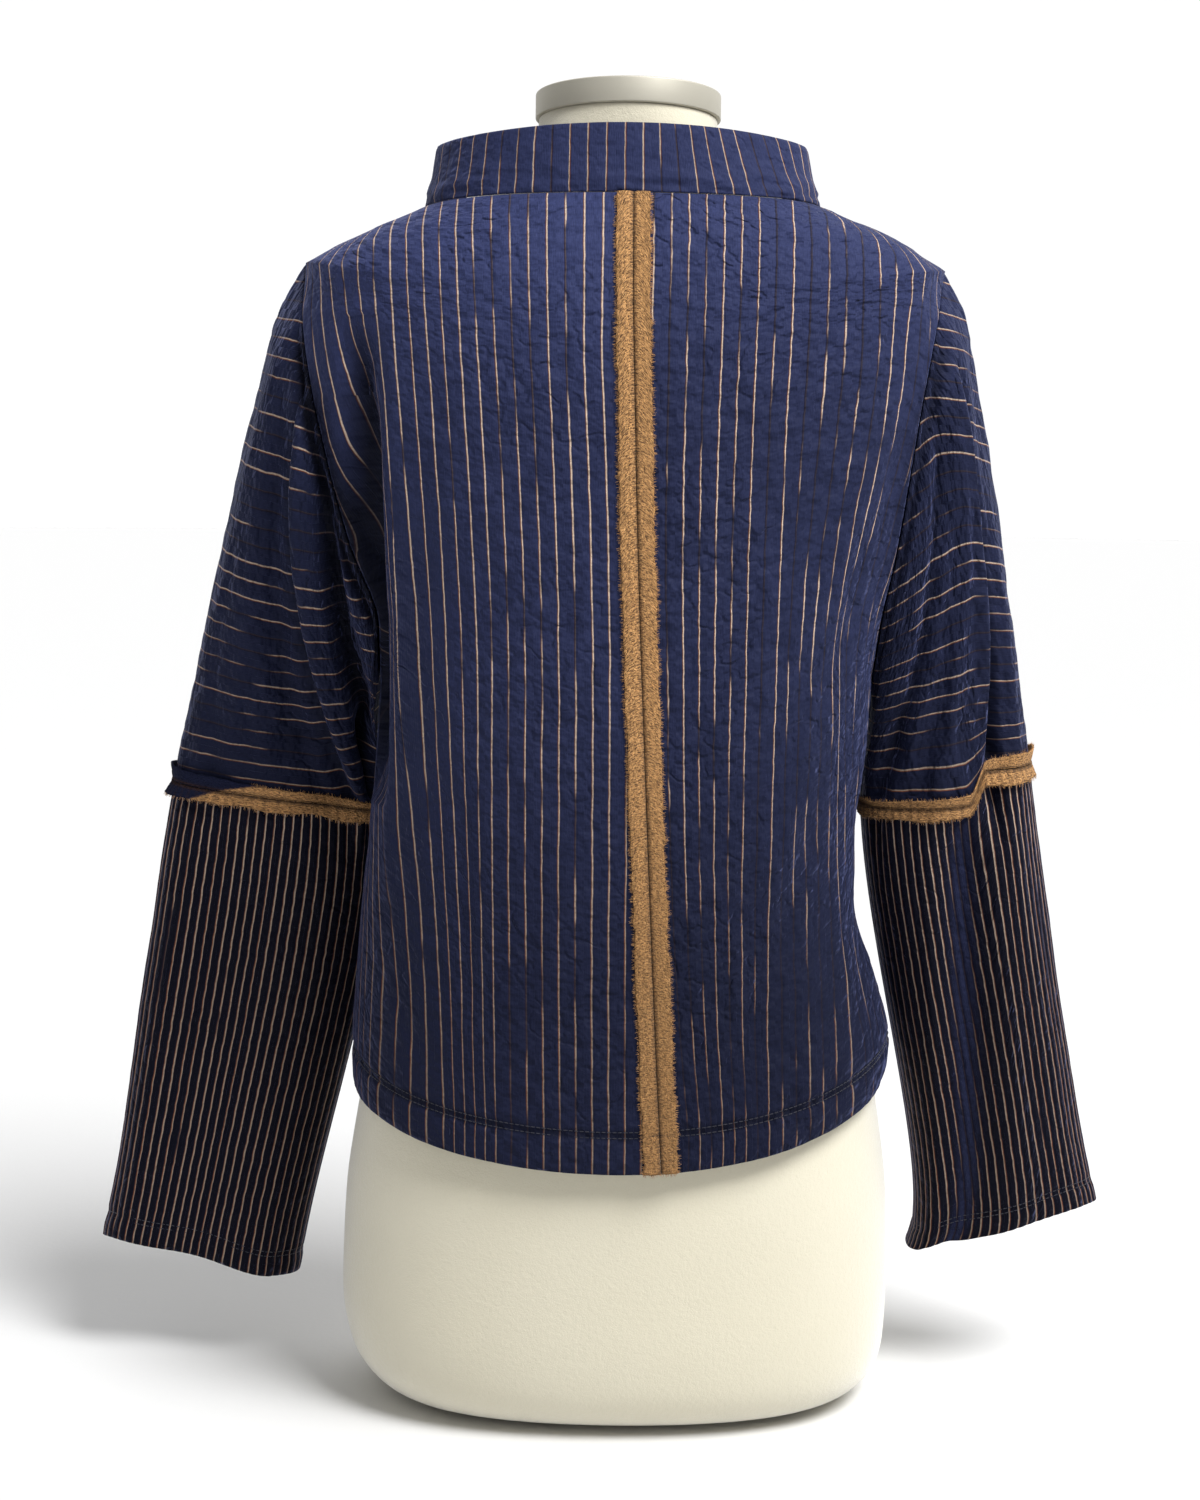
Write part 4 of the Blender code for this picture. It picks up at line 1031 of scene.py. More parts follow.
def add_lines(n, colour, place, rib, offset, strength, finish, settings):
    """The copper line of each stripe, with a painted brown shadow on one side, and drawn duller low on the
    garment as painted shade.
    """
    thin, wide = finish["thin"], finish["wide"]
    height = n.split(n.object_place())[2]
    chance = n.random(n.math("ADD", rib, finish["seed"] + 57.3))
    half_width = n.math("MULTIPLY_ADD", n.times(chance, strength), wide - thin, thin)
    away = n.math("ABSOLUTE", offset)
    line = n.ramp(away, n.times(half_width, 0.55), n.times(half_width, 1.45), 1.0, 0.0)
    fibres = n.cloth_noise(place, (900.0, 420.0), finish["seed"])
    line = n.times(line, strength, n.ramp(fibres, 0.25, 0.55, 0.62, 1.0))
    brown_shadow = n.ramp(n.math("ABSOLUTE", n.math("ADD", offset, wide * 0.9)), *BROWN_SHADOW_REACH, 0.90, 0.0)
    colour = n.mix(n.times(brown_shadow, strength), colour, BROWN_SHADOW)
    bright = tinted(settings.stripe, finish["tone"])
    # painted shade: the lines are drawn duller low on the garment
    return n.mix(line, colour, n.mix(n.ramp(height, 0.24, 0.56), tinted(bright, 0.38), bright))


def cloth_bumps(n, place, rib, offset, fine, finish):
    """Fibres, fine wales, the dip at each stripe, sharp little creases and the puckers of the crepe."""
    across, along = place
    seed, puckers = finish["seed"], finish["puckers"]
    knit = n.add("ShaderNodeTexWave", wave_type="BANDS", bands_direction="X", wave_profile="SIN")
    n.put(n.vector(across, 0.0), knit.inputs["Vector"])
    knit.inputs["Scale"].default_value = 2 * math.pi / KNIT_PITCH / 20
    knit.inputs["Distortion"].default_value = 0.6
    each_rib = n.math("MULTIPLY_ADD", rib, RIB_APART, across)
    crepe = n.cloth_noise((each_rib, along), (48.0, 88.0), seed, 2.5, 0.52)
    bend = n.cloth_noise(place, (38.0, 48.0), seed + 9, 2.5, 0.55)
    region = n.cloth_noise(place, (13.0, 11.0), seed + 5, 1.0)
    fold_line = n.ramp(n.math("ABSOLUTE", n.math("SUBTRACT", bend, 0.5)), 0.0, 0.065, 1.0, 0.0)
    fold_line = n.times(fold_line, n.ramp(region, 0.36, 0.56))
    normal = n.bump(knit.outputs["Fac"], 0.00005, n.bump(fine, 0.00022))
    normal = n.bump(n.ramp(n.math("ABSOLUTE", offset), 0.0, finish["groove"] * 2), 0.00022, normal)
    normal = n.bump(n.math("SUBTRACT", 1.0, fold_line), 0.00018 + puckers * 0.10, normal)
    return n.bump(crepe, puckers, normal)


def pinstripe_cloth(name, key, settings):
    """Navy double cloth: at each stripe the face dips and its copper reverse shows as a thin line."""
    finish = dict(zip(FINISH_COLUMNS, PINSTRIPE_FINISHES[key]))
    base, pitch = settings.navy, settings.stripe_pitch
    if key == "forearm":
        base, pitch = settings.forearm, forearm_pitch(settings)
    n = Nodes(name)
    place = n.cloth_place()
    rib, offset = stripe_offset(n, place, pitch, finish)
    strength = line_strength(n, rib, place[1], finish)
    fine = n.cloth_noise(place, (1500.0, 260.0), finish["seed"])
    colour = face_colour(n, place, tinted(base, finish["tint"]), fine, offset, finish, settings)
    colour = add_lines(n, colour, place, rib, offset, strength, finish, settings)
    return n.finish(
        colour, n.ramp(fine, 0.3, 0.7, 0.60, 0.74), cloth_bumps(n, place, rib, offset, fine, finish),
        Sheen_Weight=0.19, Sheen_Roughness=0.36, Sheen_Tint=SHEEN_BLUE, Specular_IOR_Level=0.07,
    )


def copper_cloth(name, settings):
    """The fuzzy reverse: short copper loops with dark specks, darker in the seam, and drawn darker low on
    the garment as painted shade.
    """
    n = Nodes(name)
    place = n.cloth_place()
    across, along = place
    copper = tuple(settings.copper)
    flat = n.vector(n.times(across, 1000.0), n.times(along, 1000.0))
    cells = n.add("ShaderNodeTexVoronoi", {"Vector": flat, "Scale": 0.85}, feature="F1").outputs["Distance"]
    loops = n.cloth_noise(place, (480.0, 1150.0), detail=3.0, roughness=0.70)
    clumps = n.cloth_noise(place, (300.0, 300.0))
    height = n.split(n.object_place())[2]
    turned = n.painted("turned")
    dots = n.noise(n.vector(0.0, n.times(along, 900.0)), 1.0, 1.0)
    right_strip = n.ramp(across, 0.05, 0.10, 0.0, n.ramp(across, 0.13, 0.10, 0.0, 0.20))
    colour = copper
    for share, other in (
        (n.ramp(clumps, 0.35, 0.65), tuple(min(1.0, c * 1.45) for c in copper)),
        (n.ramp(loops, 0.50, 0.58, 0.0, 0.92), COPPER_SPECK),
        (n.ramp(loops, 0.46, 0.34, 0.0, 0.55), COPPER_TIP),
        (n.ramp(cells, 0.35, 0.75, 0.0, 0.35), COPPER_CELL),
        # painted shade: darker low on the garment
        (n.ramp(height, 0.50, 0.26, 0.0, 0.5), COPPER_LOW),
        (right_strip, COPPER_LOW),
        (turned, tinted(settings.navy, 0.6)),
        (n.times(n.painted("shade"), n.ramp(dots, 0.40, 0.58, 0.30, 1.0)), COPPER_SEAM),
    ):
        colour = n.mix(share, colour, other)
    return n.finish(
        colour, 0.92, n.bump(loops, 0.0013, n.bump(cells, 0.0010)),
        Sheen_Weight=n.times(n.math("SUBTRACT", 1.0, turned), 0.14), Sheen_Roughness=0.6,
        Sheen_Tint=SHEEN_COPPER, Specular_IOR_Level=0.08,
    )


def thread_finish(name, colour, roughness=0.7):
    """Twisted sewing thread or loose yarn: one colour with a fine twist."""
    n = Nodes(name)
    twist = n.noise(n.object_place(), 1400.0)
    tone = n.mix(n.ramp(twist, 0.3, 0.7), tinted(colour, 0.6), colour)
    return n.finish(tone, roughness, n.bump(twist, 0.0002), Sheen_Weight=0.2)


def jersey_finish(colour):
    """Cream jersey pulled over the form: fine wales, a little pilling and soft wear."""
    n = Nodes("form_jersey")
    place = n.object_place()
    knit = n.noise(place, 1300.0, 2.0, 0.6)
    pills = n.noise(place, 320.0, 3.0, 0.6)
    broad = n.noise(place, 9.0, 3.0)
    worn = tuple(c * f for c, f in zip(colour, JERSEY_WEAR))
    tone = n.mix(n.ramp(broad, 0.3, 0.7, 0.0, 0.35), colour, worn)
    tone = n.mix(n.ramp(knit, 0.45, 0.75, 0.0, 0.25), tone, tinted(colour, 0.86))
    normal = n.bump(knit, 0.00025, n.bump(pills, 0.00035))
    return n.finish(tone, 0.88, normal, Sheen_Weight=0.9, Sheen_Roughness=0.5, Specular_IOR_Level=0.25)


def metal_finish(colour):
    """Satin metal, finely turned round its rim."""
    n = Nodes("cap_satin_metal")
    place = n.object_place()
    x, y, z = (n.times(axis, steps) for axis, steps in zip(n.split(place), (40.0, 40.0, 5200.0)))
    turned = n.noise(n.vector(x, y, z), 1.0)
    smudge = n.noise(place, 26.0, 3.0)
    tone = n.mix(n.ramp(smudge, 0.3, 0.75, 0.0, 0.4), colour, tinted(colour, 0.88))
    rough = n.math("MULTIPLY_ADD", smudge, 0.14, 0.42)
    return n.finish(tone, rough, n.bump(turned, 0.00003), Metallic=0.35, Anisotropic=0.35)


def material(key, settings):
    """Each finish, made once and then shared."""
    name = MATERIAL_NAMES[key]
    found = bpy.data.materials.get(name)
    if found:
        return found
    if key in PINSTRIPE_FINISHES:
        return pinstripe_cloth(name, key, settings)
    if key == "copper":
        return copper_cloth(name, settings)
    if key == "stitch":
        return thread_finish(name, STITCH_COLOUR)
    return thread_finish(name, tuple(settings.copper), YARN_ROUGHNESS)


# ---------------------------------------------------------------- pieces of the body
def stripe_number(side, points):
    """How many stripes lie between the centre and a point: straight lines between the traced stripes."""
    lines = BACK_GRAIN[side]
    numbers = sorted(lines)
    reach = SIDE[side] * points[..., 0]
    fall = np.clip(-points[..., 2], -GRAIN_HEIGHTS[0], -GRAIN_HEIGHTS[-1])
    rows = [SIDE[side] * smooth_column(-np.array(GRAIN_HEIGHTS), lines[k], fall) for k in numbers]
    result = np.zeros_like(reach)
    for k in range(len(numbers) - 1):
        share = (reach - rows[k]) / (rows[k + 1] - rows[k])
        value = numbers[k] + share * (numbers[k + 1] - numbers[k])
        inside = (reach >= rows[k]) if k else np.full(reach.shape, True)
        result = np.where(inside, value, result)
    return result


def stripes_round_side(traced, reach, run, pitch, least):
    """Beyond TURN_SHARE of the half width, the stripes are spaced evenly along the cloth instead."""
    turn_at = np.maximum(TURN_SHARE * reach[:, -1], least)
    rows = list(zip(turn_at, reach, run, traced))
    start_run = np.array([np.interp(at, across, length) for at, across, length, _ in rows])[:, None]
    start_number = np.array([np.interp(at, across, number) for at, across, _, number in rows])[:, None]
    beyond = start_number + (run - start_run) / pitch
    return np.where(reach > turn_at[:, None], beyond, traced)


def turned_up(height, depth, rows, groove_width, fades):
    """How far a hem's soft roll shows (0 to 1), and how deep its stitched grooves are (0 to 1)."""
    grooves = sum(hump(height - depth - row, groove_width) for row in rows)
    return between(height, 0.0, depth, *fades), grooves


def hem_relief(height):
    """Two stitched grooves at the top of the turned-up hem, with a soft roll below them."""
    roll, grooves = turned_up(height, HEM_DEPTH, HEM_STITCH_ROWS, 0.0011, (0.006, 0.008))
    return HEM_ROLL * roll - HEM_GROOVE * grooves


def hem_shade(height):
    """How dark the cloth is drawn in beside the hem's stitches."""
    return 0.75 * hump(height - HEM_DEPTH, 0.0026)


def folded_thickness(height, depth):
    """The cloth's thickness, which is more where it is turned up."""
    return CLOTH + (HEM_CLOTH - CLOTH) * smooth_step(depth + 0.002, depth - 0.002, height)


def edge_dip(away):
    """The small dip of a cloth's face where it goes into a seam."""
    return EDGE_DIP * smooth_step(EDGE_DIP_WIDTH, 0.0, away)


def make_back_panel(side, settings):
    """One back panel: columns from the centre seam to the side, with relief that dies out at the seams."""
    levels = fine_levels(BACK_GRID[0])
    sign = SIDE[side]
    near = centre_seam_place(levels, sign * SEAM_GAP / 2)
    inset = seam_inset(levels)
    edge = inset if sign > 0 else 2 - inset
    places = near[:, None] + (edge - near)[:, None] * np.linspace(0, 1, BACK_GRID[1])
    level = np.repeat(levels[:, None], BACK_GRID[1], axis=1)
    face, normal = body_point(level, places), body_normal(level, places)
    height, from_seam = length_along(face, 0), length_along(face, 1)
    from_edge, from_neck = from_seam[:, -1:] - from_seam, height[-1:] - height
    pitch = settings.stripe_pitch
    traced, out = stripe_number(side, face), sign * face[..., 0]
    across = sign * pitch * stripes_round_side(traced, out, from_seam, pitch, TURN_LEAST[side])
    open_area = smooth_step(0.0125, 0.017, from_seam) * smooth_step(0.0, 0.008, from_edge)
    open_area *= smooth_step(0.0, 0.006, from_neck)
    seed, crinkle, finish = {"left": (5, 0.75, "body"), "right": (9, 1.25, "right")}[side]
    crease = -fold_depth(face, BACK_CREASES) * open_area
    relief = rib_relief(across, height, pitch, settings, seed, crinkle) * open_area + crease
    relief += hem_relief(height) * smooth_step(0.012, 0.014, from_seam)
    relief -= edge_dip(from_edge) + edge_dip(from_neck) * 2 / 3
    thickness = folded_thickness(height, HEM_DEPTH) - crease * smooth_step(0.69, 0.65, face[..., 2])
    outer = face + normal * relief[..., None]
    inner = face - normal * thickness[..., None]
    cloth_uv = np.stack([across, height], axis=-1)
    piece = cloth_wall(f"back_{side}_cloth", outer, inner, cloth_uv, material(finish, settings))
    strength, width, _ = SEAM_SHADE
    beside_arm = smooth_step(width, 0.0, from_edge) * smooth_step(0.68, 0.63, face[..., 2])
    beside_arm *= smooth_step(0.44, 0.49, face[..., 2])
    # painted shade: how dark the cloth is drawn in deep creases, beside the armhole seam and at the hem
    deep = fold_depth(face, BACK_CREASES) / DEEP_FROM - DEEP_START + strength[side] * beside_arm
    paint(piece, "deep", np.maximum(np.clip(deep, 0, 1), hem_shade(height)))
    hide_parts(f"back_{side}")
    return piece


def make_front_panel(settings):
    """The plain front: one panel with stripes parallel to its centre."""
    levels = fine_levels(FRONT_GRID[0])
    inset = seam_inset(levels, front=True)[:, None]
    places = inset + (2 - 2 * inset) * np.linspace(0, 1, FRONT_GRID[1])[None, :]
    level = np.repeat(levels[:, None], FRONT_GRID[1], axis=1)
    face, normal = body_point(level, places, True), body_normal(level, places, True)
    height, from_right = length_along(face, 0), length_along(face, 1)
    middle = np.array([np.interp(1.0, row, run) for row, run in zip(places, from_right)])[:, None]
    across = from_right - middle
    from_edge = np.minimum(from_right, from_right[:, -1:] - from_right)
    open_area = smooth_step(0.0, 0.008, from_edge) * smooth_step(0.0, 0.006, height[-1:] - height)
    crease = -fold_depth(face, FRONT_CREASES) * open_area
    relief = rib_relief(across, height, settings.stripe_pitch, settings, 15, 0.9) * open_area + crease
    relief += hem_relief(height) - edge_dip(from_edge)
    thickness = folded_thickness(height, HEM_DEPTH) - crease * smooth_step(0.64, 0.60, face[..., 2])
    outer = face + normal * relief[..., None]
    inner = face - normal * thickness[..., None]
    cloth_uv = np.stack([across, height], axis=-1)
    piece = cloth_wall("front_cloth", outer, inner, cloth_uv, material("body", settings))
    paint(piece, "deep", hem_shade(height))
    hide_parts("front")
    return piece


def collar_stripes(loop, height):
    """Metres round the collar's cloth from a stripe near the centre back. The stripes lean a little on the
    right, and the front half is evened out towards the centre front."""
    runs = length_along(loop, 1)
    last = loop.shape[1] - 1
    quarter = last // 4
    across = runs - runs[:, 2 * quarter : 2 * quarter + 1]
    halves = ((slice(0, quarter), quarter, 0), (slice(3 * quarter, None), 3 * quarter, last))
    for part, side, front in halves:
        at_side, at_front = across[:, side : side + 1], across[:, front : front + 1]
        share = (across[:, part] - at_side) / (at_front - at_side)
        across[:, part] = at_side + share * (at_front.mean() - at_side)
    on_right = smooth_step(0.0, 0.07, loop[..., 0]) * smooth_step(0.0, -0.04, loop[..., 1])
    lean = COLLAR_STRIPE_LEAN * on_right * wrapped(height)
    return (across - COLLAR_STRIPE_START) * COLLAR_STRIPE_SHARE + lean


def make_collar(settings):
    """The collar: a band round the neck that leans a little inwards, crinkled above its seam."""
    rows, columns = COLLAR_GRID
    angles = np.linspace(-math.pi / 2, 3 * math.pi / 2, columns, endpoint=False)
    levels = np.linspace(0, len(COLLAR_LEVELS) - 1, rows)
    level, angle = np.meshgrid(levels, angles, indexing="ij")
    face = closed_section(COLLAR_LEVELS, COLLAR_COLUMNS, level, angle)
    toward = unit(np.stack([np.cos(angle) * 0.078, -np.sin(angle) * 0.12, 0 * angle], axis=-1))
    height = length_along(face, 0)
    loop = wrapped(face)
    around = length_along(loop, 1)[rows // 2][:-1]
    across = collar_stripes(loop, height)
    relief = rib_relief(across[:, :-1], height, settings.stripe_pitch, settings, 21, 0.7)
    low_band = smooth_step(0.0, 0.004, height) * smooth_step(0.020, 0.006, height)
    relief += COLLAR_BAND_CRINKLE * low_band * soft_noise(around / 0.016, height / 0.0045, 22)
    top_edge = smooth_step(0.003, 0.0, height[-1:] - height)
    relief = relief * smooth_step(0.0, 0.003, height) - 0.0003 * smooth_step(0.002, 0.0, height)
    outer = face + toward * (relief - 0.0006 * top_edge)[..., None]
    inner = face - toward * (COLLAR_CLOTH - 0.0004 * top_edge)[..., None]
    cloth_uv = np.stack([across, wrapped(height)], axis=-1)
    piece = cloth_wall("collar_cloth", outer, inner, cloth_uv, material("collar", settings),
                       True)
    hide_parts("collar")
    return piece


# ---------------------------------------------------------------- raw seam allowances
def make_centre_strip(side, settings):
    """One allowance of the centre back seam: a fuzzy strip on the panel's face with a ragged free edge."""
    rows, columns = STRIP_GRID
    sign, width = SIDE[side], BACK_STRIP_WIDTH
    levels = fine_levels(rows)
    ragged = 0.0005 * soft_noise(0.0, levels * 24, 41 + sign)
    ragged = ragged + 0.0006 * soft_noise(0.0, levels * 5, 43 + sign)
    share = np.linspace(0, 1, columns) ** 0.9
    offsets = SEAM_GAP / 2 + (width - SEAM_GAP / 2) * share
    places = np.stack([centre_seam_place(levels, sign * o) for o in offsets], axis=1)
    places = places + (places[:, -1:] - places[:, :1]) * (ragged / width)[:, None] * share
    level = np.repeat(levels[:, None], columns, axis=1)
    face, normal = body_point(level, places), body_normal(level, places)
    height, across = length_along(face, 0), length_along(face, 1)
    fuzz = 0.00026 * soft_noise(across / 0.0012, height / 0.0013, 45 + sign)
    fuzz += 0.00022 * soft_noise(across / 0.003, height / 0.0045, 47 + sign)
    crown = 0.0005 * np.sin(np.pi * np.clip(across / width, 0, 1)) ** 0.8
    uneven = 0.5 + 0.5 * soft_noise(0.0, height / 0.013, 49 + sign)
    curl = 0.0005 * smooth_step(0.008, 0.012, across) * uneven
    seam = 0.0007 * smooth_step(0.0018, 0.0, across)
    stitched = 0.0005 * hump(height - HEM_DEPTH, 0.0016)
    lift = STRIP_LIFT + STRIP_CLOTH + fuzz + crown + curl - seam - stitched
    outer = face + normal * lift[..., None]
    inner = face + normal * (STRIP_LIFT + 0.4 * curl)[..., None]
    cloth_uv = np.stack([across + STRIP_MAP_STEP * sign, height], axis=-1)
    piece = cloth_wall(f"centre_back_strip_{side}_cloth", outer, inner, cloth_uv,
                       material("copper", settings))
    shade = 0.80 * smooth_step(0.0026, 0.0002, across) + 0.5 * hump(height - HEM_DEPTH, 0.0008)
    paint(piece, "shade", shade)
    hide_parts(f"centre_back_strip_{side}")
    middle = (outer + inner) / 2
    fringe = make_fringe(f"centre_back_fringe_{side}", middle[:, -1], unit(outer[:, -1] - outer[:, -3]),
                         normal[:, -1], 0.00042, 51 + sign, settings)
    ends = make_fringe(f"centre_back_end_{side}", middle[0], unit(outer[0] - outer[1]), normal[0], 0.00035,
                       61 + sign, settings)
    return piece, fringe, ends


def make_fringe(name, line, out, up, spacing, seed, settings):
    """Loose yarn ends along a raw edge: three-sided tapering threads, each bent a little on its own way.
    A thread's centre is start + out * length * t + up * lift * t^2 + sideways * lean * t."""
    run = run_along(line)
    count = max(4, int(run[-1] / spacing))
    draw = np.random.default_rng(seed)
    at = np.sort(draw.uniform(0, run[-1], count))
    start, out, up = (read_line(at, run, values) for values in (line, out, up))
    out, up = unit(out), unit(up)
    side = unit(np.cross(out, up))
    length = THREAD_LENGTH[0] + THREAD_LENGTH[1] * draw.random(count) ** 2
    lift = THREAD_LIFT * draw.uniform(-0.5, 0.7, count)
    lean = THREAD_LEAN * draw.uniform(-1, 1, count)
    thick = THREAD_RADIUS * draw.uniform(0.7, 1.3, count)
    t = np.array([-0.35, 0.25, 0.75])
    middle = (
        start[:, None]
        + out[:, None] * (length[:, None] * t)[..., None]
        + up[:, None] * (lift[:, None] * t**2)[..., None]
        + side[:, None] * (lean[:, None] * t)[..., None]
    )
    radius = thick[:, None] * np.array([1.0, 0.9, 0.6])
    turn = np.arange(3) * 2 * math.pi / 3
    ring = np.cos(turn)[:, None] * side[:, None, None] + np.sin(turn)[:, None] * up[:, None, None]
    tube = (middle[:, :, None] + ring * radius[..., None, None]).reshape(count, 9, 3)
    tip = start + out * length[:, None] + up * lift[:, None] + side * lean[:, None]
    points = np.concatenate([tube, tip[:, None]], axis=1)
    faces = [(0, 2, 1)]
    for row in (0, 3):
        for k in range(3):
            a, b = row + k, row + (k + 1) % 3
            faces += [(a, b, b + 3), (a, b + 3, a + 3)]
    faces += [(6, 7, 9), (7, 8, 9), (8, 6, 9)]
    faces = (np.array(faces)[None] + 10 * np.arange(count)[:, None, None]).reshape(-1, 3)
    return mesh_piece(name, points.reshape(-1, 3), faces, material("yarn", settings))


def elbow_strip_grid(upper, degrees, seed):
    """How far each row of an elbow allowance is from the seam, its place along the sleeve, its waves."""
    edge_share = np.linspace(0, 1, ELBOW_STRIP_GRID[0])[:, None]
    wave = soft_noise(0.0, (degrees + 180) / 17, seed) * between(degrees, -170, 170, 20, 20)
    small = soft_noise(0.0, (degrees + 180) / 4.1, seed + 1) * between(degrees, -175, 175, 10, 10)
    width = SLEEVE_STRIP_WIDTH * (1 + (0.10 if upper else 0.16) * wave + 0.05 * small)
    from_seam = edge_share * width[None]
    if upper:
        along = 1 - ELBOW_GAP - from_seam / 0.30
    else:
        along = 1 + ELBOW_GAP + from_seam / 0.32
    return edge_share, from_seam, along, wave


def make_elbow_strip(name, upper, settings):
    """One allowance of an elbow seam: a wavy fuzzy band whose free edge stands off the sleeve."""
    rows, columns = ELBOW_STRIP_GRID
    angles = np.linspace(-math.pi, math.pi, columns, endpoint=False)
    degrees = np.degrees(angles)
    seed = 71 + (10 if upper else 0) + (20 if name == "left" else 0)
    edge_share, from_seam, along, wave = elbow_strip_grid(upper, degrees, seed)
    angle = np.broadcast_to(angles, along.shape)
    face, normal = sleeve_point(name, angle, along), sleeve_normal(name, angle, along)
    beside_body = smooth_step(0.2, 0.9, (1 - np.cos(angles)) / 2)
    stand = SLEEVE_STRIP_STAND * edge_share**1.3 * (1 - beside_body) * (1 + 0.55 * wave)
    round_by = angles / (2 * math.pi) * FOREARM_ROUND
    rib_wave = np.cos(2 * math.pi * round_by / STRIP_RIB_PITCH)
    relief = 0.00024 * soft_noise(round_by / 0.0013, from_seam / 0.0012, seed + 2)
    relief += (0.00012 if upper else 0.00030) * rib_wave - 0.0005 * hump(from_seam - 0.0015, 0.0009)
    lift = SLEEVE_STRIP_LIFT + stand
    outer = face + normal * (lift + STRIP_CLOTH + relief)[..., None]
    inner = face + normal * lift[..., None]
    across = np.broadcast_to(np.linspace(0, FOREARM_ROUND, columns + 1), (rows, columns + 1))
    down = wrapped(from_seam) + STRIP_MAP_STEP * (2 if upper else 3)
    label = f"elbow_strip_{'upper' if upper else 'lower'}_{name}"
    piece = cloth_wall(f"{label}_cloth", outer, inner, np.stack([across, down], axis=-1),
                       material("copper", settings), True)
    between_ribs = (0.0 if upper else 0.40) * (0.5 - 0.5 * rib_wave) ** 3
    paint(piece, "shade", np.clip(hump(from_seam - 0.0006, 0.0012) + between_ribs, 0, 1))
    if name == "left":
        reach_back = 62 + 20 * edge_share if upper else 60 - 16 * edge_share
        turned = smooth_step(reach_back + 1.5, reach_back - 1.5, degrees) * smooth_step(-34, -28, degrees)
        paint(piece, "turned", turned)
    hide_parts(label)
    seen = np.abs(degrees) < 172
    if name == "left" and upper:
        seen &= (degrees > 80) | (degrees < -32)
    edge, out = (outer[-1] + inner[-1]) / 2, unit(outer[-1] - outer[-3])
    fringe = make_fringe(label.replace("strip", "fringe"), edge[seen], out[seen], normal[-1][seen],
                         0.00075, seed + 5, settings)
    return piece, fringe


# ---------------------------------------------------------------- sleeves
def make_upper_sleeve(name, settings):
    """The upper sleeve: stripes run round it, evenly spaced from the elbow seam up to the armhole."""
    rows, columns = UPPER_SLEEVE_GRID
    angles = np.linspace(-math.pi, math.pi, columns, endpoint=False)
    along, angle = np.meshgrid(np.linspace(0, 1 - ELBOW_GAP, rows + 1), angles, indexing="ij")
    degrees = np.degrees(angle)
    face, normal = sleeve_point(name, angle, along), sleeve_normal(name, angle, along)
    from_top = length_along(face, 0)
    from_elbow = from_top[-1:] - from_top
    around = length_along(wrapped(face), 1)[:, :-1]
    drift = around - around[:, columns // 2 : columns // 2 + 1]
    seed = 81 if name == "left" else 91
    stripe_place = 1.03 * (face[..., 2] - face[-1:, :, 2])
    stripe_place += rise_at(ELBOW_RISE[name], angles) * smooth_step(0.0, 0.05, from_elbow)
    stripe_place += rise_at(STRIPE_TILT[name], angles) * smooth_step(0.0, 0.16, from_elbow)
    relief = rib_relief(stripe_place, drift, settings.stripe_pitch, settings, seed, 1.3)
    near_elbow = smooth_step(0.10, 0.0, from_elbow) * smooth_step(0.0, 0.012, from_elbow)
    relief += 0.0007 * near_elbow * soft_noise(drift / 0.0085, from_elbow / 0.030, seed + 3)
    open_area = between(from_top, 0.0, from_top[-1:], 0.008, 0.010) * away_from_body(angle)
    crease = -tube_folds(SLEEVE_CREASES[name], angle, along) * open_area
    on_back = between(degrees, 24, 172, 20, 22)
    crease -= ARM_TROUGH[name] * hump(from_top - 0.010, 0.006) * on_back
    relief = relief * open_area + crease - edge_dip(from_top)
    outer = face + normal * relief[..., None]
    inner = face + normal * (crease - CLOTH)[..., None]
    round_cloth = np.concatenate([drift, drift[:, -1:] * 2 - drift[:, -2:-1]], axis=1)
    cloth_uv = np.stack([wrapped(stripe_place), round_cloth], axis=-1)
    piece = cloth_wall(f"upper_sleeve_{name}_cloth", outer, inner, cloth_uv, material("sleeve", settings),
                       True)
    strength, _, width = SEAM_SHADE
    beside_arm = smooth_step(width, 0.0, from_top) * between(degrees, 24, 176, 20, 16)
    # painted shade: how dark the cloth is drawn in deep creases and beside the armhole seam
    paint(piece, "deep", np.clip(-crease / DEEP_FROM - DEEP_START + strength[name] * beside_arm, 0, 1))
    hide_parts(f"upper_sleeve_{name}")
    return piece


def even_angles(name, count):
    """Angles that part the sleeve's girth evenly, starting at the line beside the body."""
    fine = np.linspace(-math.pi, math.pi, 721)
    run = length_along(forearm_point(name, fine, np.full_like(fine, 1.5)), 0)
    return np.interp(np.linspace(0, run[-1], count, endpoint=False), run, fine)


